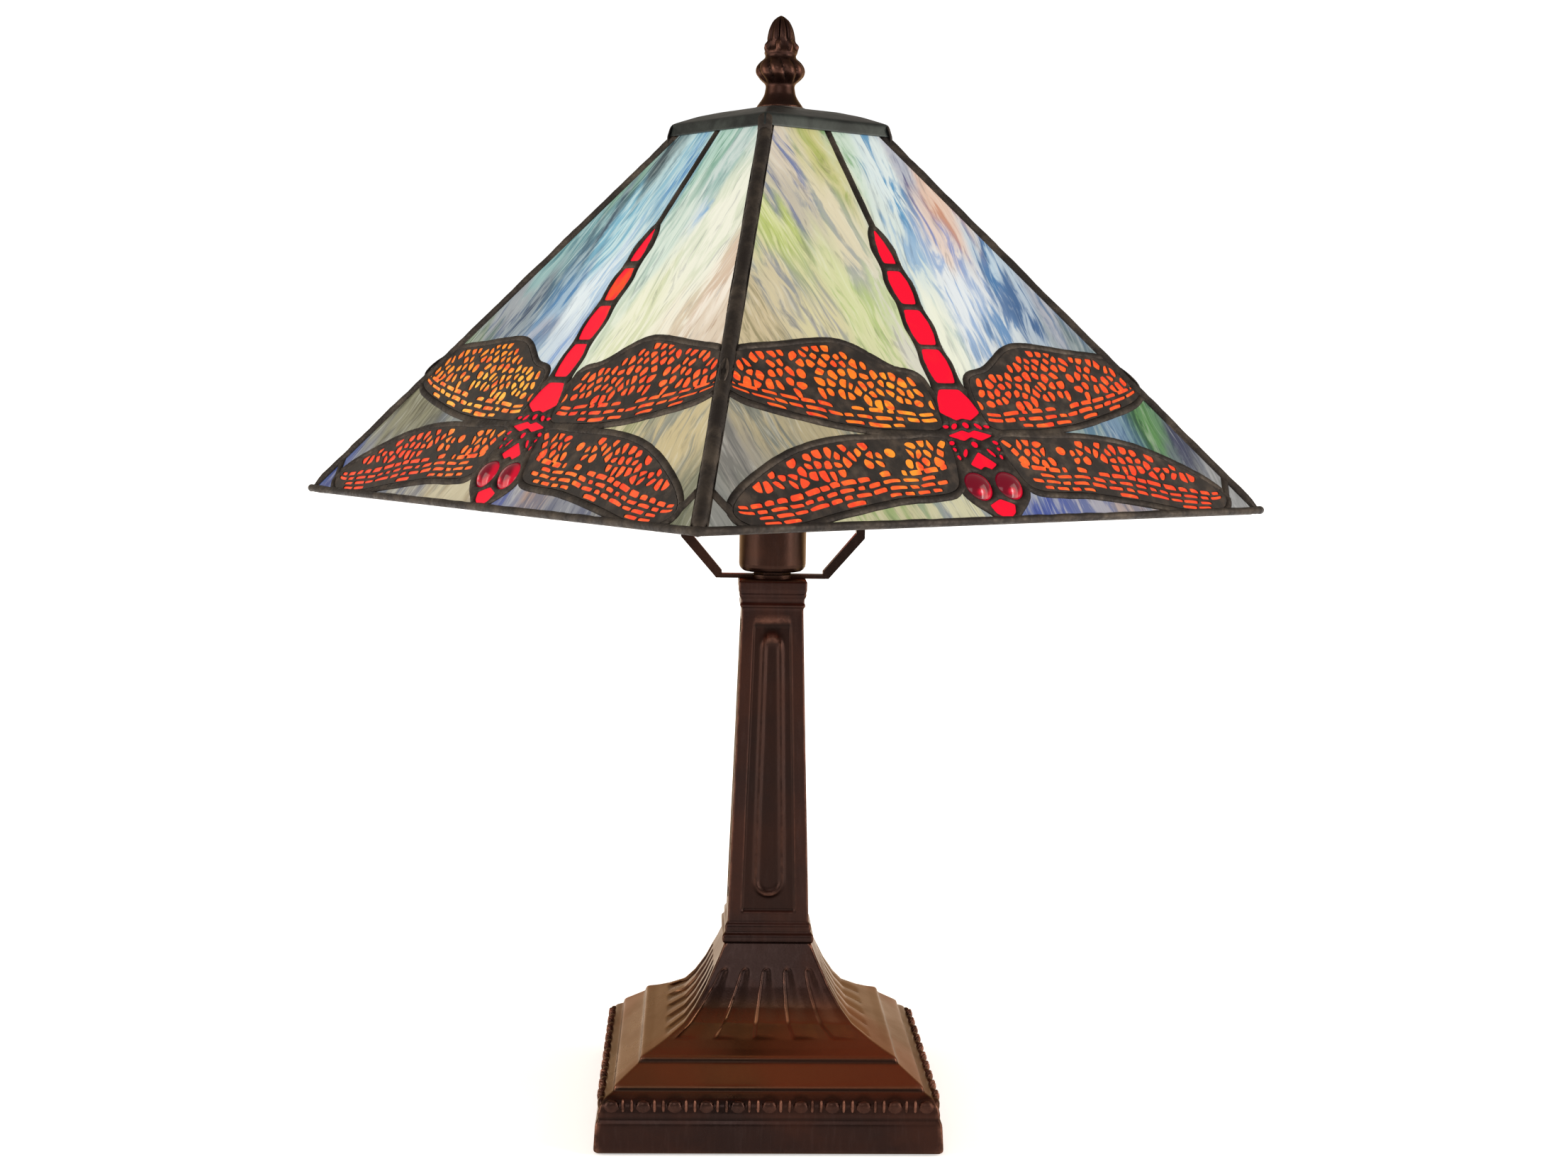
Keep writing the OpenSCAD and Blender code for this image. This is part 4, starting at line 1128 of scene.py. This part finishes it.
def finish_of(points, faces, sharpness, most):
    """Point attributes of a casting: rubbed bare, with painted highlights, on edges that stand out, and
    painted shade in its corners.
    """
    out = convexity(points, faces)
    return {"wear_and_highlight": ("FLOAT", most * smoothstep(sharpness * 0.4, sharpness * 1.6, out)),
            "painted_shade": ("FLOAT", 0.85 * smoothstep(sharpness * 0.5, sharpness * 2, -out))}


def ball(centre, radii, lean, around=12, rings=8):
    """Closed ellipsoid, leaning back about the x axis."""
    points, faces = [], []
    for ring in range(rings + 1):
        a = math.pi * ring / rings
        for i in range(around if 0 < ring < rings else 1):
            b = i * math.tau / around
            x = radii[0] * math.sin(a) * math.cos(b)
            y = radii[1] * math.sin(a) * math.sin(b)
            z = radii[2] * math.cos(a)
            points.append((centre[0] + x, centre[1] + y * math.cos(lean) - z * math.sin(lean),
                           centre[2] + y * math.sin(lean) + z * math.cos(lean)))
    for i in range(around):
        after = (i + 1) % around
        faces.append([0, 1 + i, 1 + after])
        last = len(points) - 1
        for ring in range(rings - 2):
            low = 1 + ring * around
            faces.append([low + i, low + around + i, low + around + after, low + after])
        faces.append([last - around + after, last - around + i, last])
    return points, faces


BASE_HALF = 85.7
BASE_PROFILE = [(BASE_HALF - 1.2, 0.6), (BASE_HALF, 1.8), (BASE_HALF - 0.8, 15), (BASE_HALF - 1.7, 16.6),
                (BASE_HALF - 2.1, 17.4), (BASE_HALF - 1.9, 18.6), (BASE_HALF - 1.9, 20.2),
                (BASE_HALF - 3, 24), (BASE_HALF - 5.2, 26.8), (BASE_HALF - 8.2, 28.4),
                (BASE_HALF - 9.2, 28.9), (BASE_HALF - 9.4, 30.4), (BASE_HALF - 9.9, 31.6),
                (BASE_HALF - 20.6, 39),
                (BASE_HALF - 21.5, 39.8), (BASE_HALF - 21.9, 41.6), (BASE_HALF - 22.6, 42.5),
                (BASE_HALF - 28, 44.6), (BASE_HALF - 34.3, 47.6), (42.6, 52.9), (37.2, 59.4), (31.5, 68.8),
                (28.3, 75.7), (25.2, 82), (22.3, 88.9)]
# Painted shade in the grooves round the base: height, half width and strength
SHADED_GROOVES = [(40.6, 1.3, 0.9), (30.0, 1.0, 0.9), (17.6, 0.7, 0.45)]
FLUTE_LOW, FLUTE_HIGH = 48.2, 76.0
FLUTE_SHARE = 0.385
PAIR_PITCH = 15.4
# Bars in pairs and eggs between them: how far in from the foot, height, radii, and lean
BAR_IN, BAR_Z, BAR_RADII, BAR_LEAN = 3.95, 22.0, (1.2, 2.1, 5.7), 0.36
EGG_IN, EGG_Z, EGG_RADII, EGG_LEAN = 4.7, 21.8, (4.8, 2.9, 4.9), 0.3
BAR_GAP = 2.15
SCALLOP_R = 5.6


def flutes(x, z, half):
    """Five shallow channels that fan out and widen down the flare."""
    if not FLUTE_LOW - 1 < z < FLUTE_HIGH + 2:
        return 0.0
    share = x / half
    nearest = min(max(round(share / FLUTE_SHARE), -2), 2) * FLUTE_SHARE
    wide = 2.4 + 4.6 * (FLUTE_HIGH - z) / (FLUTE_HIGH - FLUTE_LOW)
    off = (share - nearest) * half
    arch = FLUTE_HIGH + 1.2 * math.sqrt(max(0, 1 - (off / wide) ** 2))
    ends = smoothstep(FLUTE_LOW - 0.8, FLUTE_LOW, z) * (1 - smoothstep(arch - 1.0, arch, z))
    deep = 1.2 + 0.7 * (FLUTE_HIGH - z) / (FLUTE_HIGH - FLUTE_LOW)
    across = smoothstep(-wide - 0.4, -wide + 0.7, off) * (1 - smoothstep(-wide + 1, wide, off))
    return float(-deep * ends * across)


def build_base():
    profile = fine_profile(BASE_PROFILE, 1.3, [(14, 34), (38, 80)])
    points, faces = square_rings(profile, 104, 1.3, flutes)
    finish = finish_of(points, faces, 0.07, 0.8)
    wear_and_highlight, painted_shade = (finish[key][1].tolist() for key in ("wear_and_highlight", "painted_shade"))
    for i, (x, y, z) in enumerate(points):
        across = min(abs(x), abs(y))
        # A ring of painted shade round the top of each egg
        ring = math.hypot(across - round(across / PAIR_PITCH) * PAIR_PITCH, z - EGG_Z) / SCALLOP_R
        scallop_shade = 0.5 * math.exp(-((ring - 1) / 0.16) ** 2) if z > EGG_Z - 0.8 else 0
        groove_shade = [strength * math.exp(-(abs(z - height) / reach) ** 4) for height, reach, strength in SHADED_GROOVES]
        painted_shade[i] = max(painted_shade[i], scallop_shade, *groove_shade)
    for face in range(4):
        raised = []
        for pair in range(10):
            middle = (pair - 4.5) * PAIR_PITCH
            for side in (-1, 1):
                centre = (middle + side * BAR_GAP, -BASE_HALF + BAR_IN, BAR_Z)
                raised.append((0.8, ball(centre, BAR_RADII, BAR_LEAN)))
        for gap in range(11):
            centre = ((gap - 5) * PAIR_PITCH, -BASE_HALF + EGG_IN, EGG_Z)
            raised.append((0.12, ball(centre, EGG_RADII, EGG_LEAN, 16, 10)))
        # Bars get strong painted highlights with rubbing, eggs a faint painted highlight
        for rub_and_highlight, (some, around) in raised:
            append(points, faces, rotated(some, face * math.pi / 2), around)
            wear_and_highlight += [rub_and_highlight] * len(some)
            painted_shade += [0.0] * len(some)
    make("base_casting", points, faces, "stand", "bronze", ["base_shell"], 60,
         {"wear_and_highlight": ("FLOAT", wear_and_highlight), "painted_shade": ("FLOAT", painted_shade)})


COLUMN_PROFILE = [(22.3, 88.9), (23.3, 89.9), (23.5, 91.6), (23.3, 93.4), (22.1, 94.4), (21.8, 95.6),
                  (22.2, 96.8), (21.8, 98.8), (20.9, 99.6), (20.7, 103.2), (20.3, 118.5), (17.7, 195.3),
                  (15.7, 260.6), (15.8, 261.4), (16.6, 262), (16.7, 263), (16.1, 263.8), (16.2, 266.2),
                  (17.0, 267.2), (17.1, 268.4), (16.8, 269.2), (17.3, 270), (17.4, 274.9), (16.8, 275.5)]


# Heights of the sunk frame in the column's faces, and of the ridge in it, between its round ends' middles
FRAME_LOW, FRAME_HIGH = 105, 254
RIDGE_LOW, RIDGE_LONG = 121, 121


def frame_half(z):
    """Half width of the sunk frame."""
    return 14 - 4.2 * (z - FRAME_LOW) / (FRAME_HIGH - FRAME_LOW)


def column_relief(x, z, half):
    """A sunk frame in each face, with a long oval ridge in it."""
    if not FRAME_LOW - 2 < z < FRAME_HIGH + 2:
        return 0.0
    edge = frame_half(z)
    sunk = ((1 - smoothstep(edge - 1.5, edge + 0.35, abs(x)))
            * smoothstep(FRAME_LOW - 0.6, FRAME_LOW + 1.2, z)
            * (1 - smoothstep(FRAME_HIGH - 1.2, FRAME_HIGH + 0.6, z)))
    t = min(max((z - RIDGE_LOW) / RIDGE_LONG, 0), 1)
    gap = math.hypot(x, z - (RIDGE_LOW + RIDGE_LONG * t)) - (6.8 - 2.6 * t)
    ridge = math.exp(-(gap / 1.65) ** 2)
    return float(sunk * (-1.3 + 1.4 * ridge))


def build_column():
    profile = fine_profile(COLUMN_PROFILE, 0.8, [(88, 111), (235, 276)])
    points, faces = square_rings(profile, 76, 1.1, column_relief)
    finish = finish_of(points, faces, 0.05, 0.34)
    # Painted shade in the sunk frame of each face
    recess_shade = np.array([0.45 if FRAME_LOW < z < FRAME_HIGH and min(abs(x), abs(y)) < frame_half(z) else 0
                       for x, y, z in points])
    finish["painted_shade"] = ("FLOAT", np.maximum(finish["painted_shade"][1], recess_shade))
    make("column_casting", points, faces, "stand", "bronze", ["column"], 60, finish)


CAP_PROFILE = [(CAP_HALF - 1.2, CAP_Z + 0.2), (CAP_HALF, CAP_Z), (CAP_HALF - 0.2, CAP_Z + 0.8),
               (CAP_HALF - 1.3, CAP_Z + 5.7), (CAP_HALF - 2.2, CAP_Z + 6.6), (CAP_HALF - 11, CAP_Z + 10.2),
               (CAP_HALF - 20, CAP_TOP - 0.7), (14, CAP_TOP), (3.4, CAP_TOP)]


def build_cap():
    """Square cap, a little uneven on its faces. The solder run over its corners is built with the ridges."""
    profile = fine_profile(CAP_PROFILE, 1.4)
    points, faces = square_rings(profile, 30, 1.5, lambda x, z, half: 0.12 * lump((x, z, half), 9))
    make("cap", rotated(points, SHADE_TURN), faces, "shade", "cap_metal", ["shade_cap"], 55)


# ---- finial ----

FINIAL_PROFILE = [(3.4, 0), (12, 0), (11.6, 1.0), (10.4, 2.6), (9, 4.6), (7.9, 6.8), (7.4, 9.5), (7.2, 11),
                  (7.6, 12), (9.6, 14), (11.7, 16.4), (12.1, 18.6), (11.5, 20.8), (9.6, 23.2), (7.8, 25),
                  (7.6, 26.2), (8.4, 27.4), (8.0, 28.6), (7.2, 30), (6.9, 32), (6.7, 34.4), (6.4, 36.6),
                  (5.8, 39), (4.7, 41.6), (3.3, 43.8), (1.7, 45.4), (0.3, 46)]


def finial_relief(a, z):
    """Leaves on the turned body, a ring of knobs, and petals on the bud."""
    leaves = smoothstep(12, 15, z) * (1 - smoothstep(22.5, 25, z))
    swirl = abs(math.sin(5 * a + 0.16 * (z - 12)))
    knobs = math.exp(-((z - 30.8) / 2.1) ** 2)
    petals = smoothstep(32.5, 35, z) * (1 - smoothstep(43, 45.6, z))
    return float(leaves * (1.7 * swirl ** 0.6 - 1.2) + knobs * (2.4 * max(0, math.cos(7 * a)) ** 1.5 - 0.3)
                 + petals * (1.4 * abs(math.cos(4.5 * a)) ** 0.7 - 0.9))


def build_finial():
    fine = fine_profile(FINIAL_PROFILE, 0.45)
    around = 108
    points = []
    for r, z in fine:
        for i in range(around):
            a = i * math.tau / around
            out = max(0.2, r + (finial_relief(a, z) if r > 1.5 else 0))
            points.append((out * math.cos(a), out * math.sin(a), WASHER_TOP + z))
    faces = ring_faces(len(fine), around)
    make("finial_casting", points, faces, "finial", "bronze", ["finial"], 60,
         finish_of(points, faces, 0.04, 0.35))


# ---- stage, light and camera ----

def build_stage():
    bpy.ops.mesh.primitive_plane_add(size=40, location=(0, 0, -0.0005))
    floor = bpy.context.object
    floor.name = "floor"
    material, tree, shader, where = new_material("floor", Roughness=0.9, Emission_Strength=1.0)
    speckle = texture(tree, where, 3, 2)
    away = node(tree, "VectorMath", {0: where}, operation="LENGTH").outputs["Value"]
    # Painted glow that rises away from the lamp: the far floor turns into the white backdrop, and the floor
    # near the lamp is dimmer
    lift = two_tone(tree, away, 0.15, 0.6, (0.42, 0.42, 0.42, 1), (1, 1, 1, 1))
    link(tree, shader, Base_Color=blend_colours(tree, speckle, rgb(247, 247, 247), rgb(252, 252, 252)),
         Emission_Color=lift)
    floor.data.materials.append(material)

    world = bpy.data.worlds.new("studio")
    bpy.context.scene.world = world
    world.use_nodes = True
    tree = world.node_tree
    seen = node(tree, "LightPath").outputs["Is Camera Ray"]
    backdrop = node(tree, "Background", {"Color": (1, 1, 1, 1), "Strength": 1.1}).outputs[0]
    fill = tree.nodes["Background"]
    fill.inputs["Color"].default_value = (1, 0.9, 0.79, 1)
    fill.inputs["Strength"].default_value = 0.42
    either = node(tree, "MixShader", {0: seen, 1: fill.outputs[0], 2: backdrop}).outputs[0]
    tree.links.new(either, tree.nodes["World Output"].inputs["Surface"])


def softbox(name, place_at, aim_at, size, power, tint=(1, 1, 1)):
    light = bpy.data.lights.new(name, "AREA")
    light.shape = "RECTANGLE"
    light.size, light.size_y = size
    light.energy = power
    light.color = tint
    lamp = bpy.data.objects.new(name, light)
    lamp.location = place_at
    lamp.rotation_euler = (Vector(aim_at) - Vector(place_at)).to_track_quat("-Z", "Y").to_euler()
    bpy.context.scene.collection.objects.link(lamp)


def build_lights():
    softbox("left_softbox", (-1.5, -0.5, 0.7), (0, 0, 0.25), (1.0, 1.4), 17, (1, 0.9, 0.78))
    softbox("right_softbox", (1.5, -0.4, 0.7), (0, 0, 0.25), (1.0, 1.4), 15, (1, 0.9, 0.78))
    softbox("front_softbox", (-0.3, -1.9, 1.3), (0, 0, 0.2), (1.2, 0.8), 9)
    softbox("left_strip", (-1.25, -0.75, 0.45), (0, 0, 0.25), (0.14, 1.0), 3, (1, 0.93, 0.9))
    softbox("right_strip", (1.25, -0.75, 0.45), (0, 0, 0.25), (0.14, 1.0), 7, (1, 0.93, 0.9))
    for side in (-1, 1):
        softbox("back_softbox", (side * 1.0, 1.7, 0.6), (0, 0, 0.2), (1.3, 1.3), 4, (1, 0.86, 0.7))


def build_camera():
    """Camera just above the rim's height, turned a little to the right of the lamp."""
    yaw, pitch, roll = math.radians(2.293), math.radians(-5.556), math.radians(0.959)
    ahead = Vector((math.sin(yaw) * math.cos(pitch), math.cos(yaw) * math.cos(pitch), math.sin(pitch)))
    right = Vector((math.cos(yaw), -math.sin(yaw), 0))
    up = right.cross(ahead)
    tilted_right = right * math.cos(roll) + up * math.sin(roll)
    tilted_up = up * math.cos(roll) - right * math.sin(roll)
    turned = Matrix((tilted_right, tilted_up, -ahead)).transposed().to_4x4()
    data = bpy.data.cameras.new("camera")
    data.sensor_width = 36
    data.lens = 50.16
    camera = bpy.data.objects.new("camera", data)
    camera.matrix_world = Matrix.Translation((-0.03865, -1.11958, 0.37921)) @ turned
    bpy.context.scene.collection.objects.link(camera)
    bpy.context.scene.camera = camera
    bpy.context.scene.view_settings.view_transform = "Standard"


build_camera()
build_stage()
build_lights()
finish_cad_nodes()
build_shade()
build_base()
build_column()
build_finial()
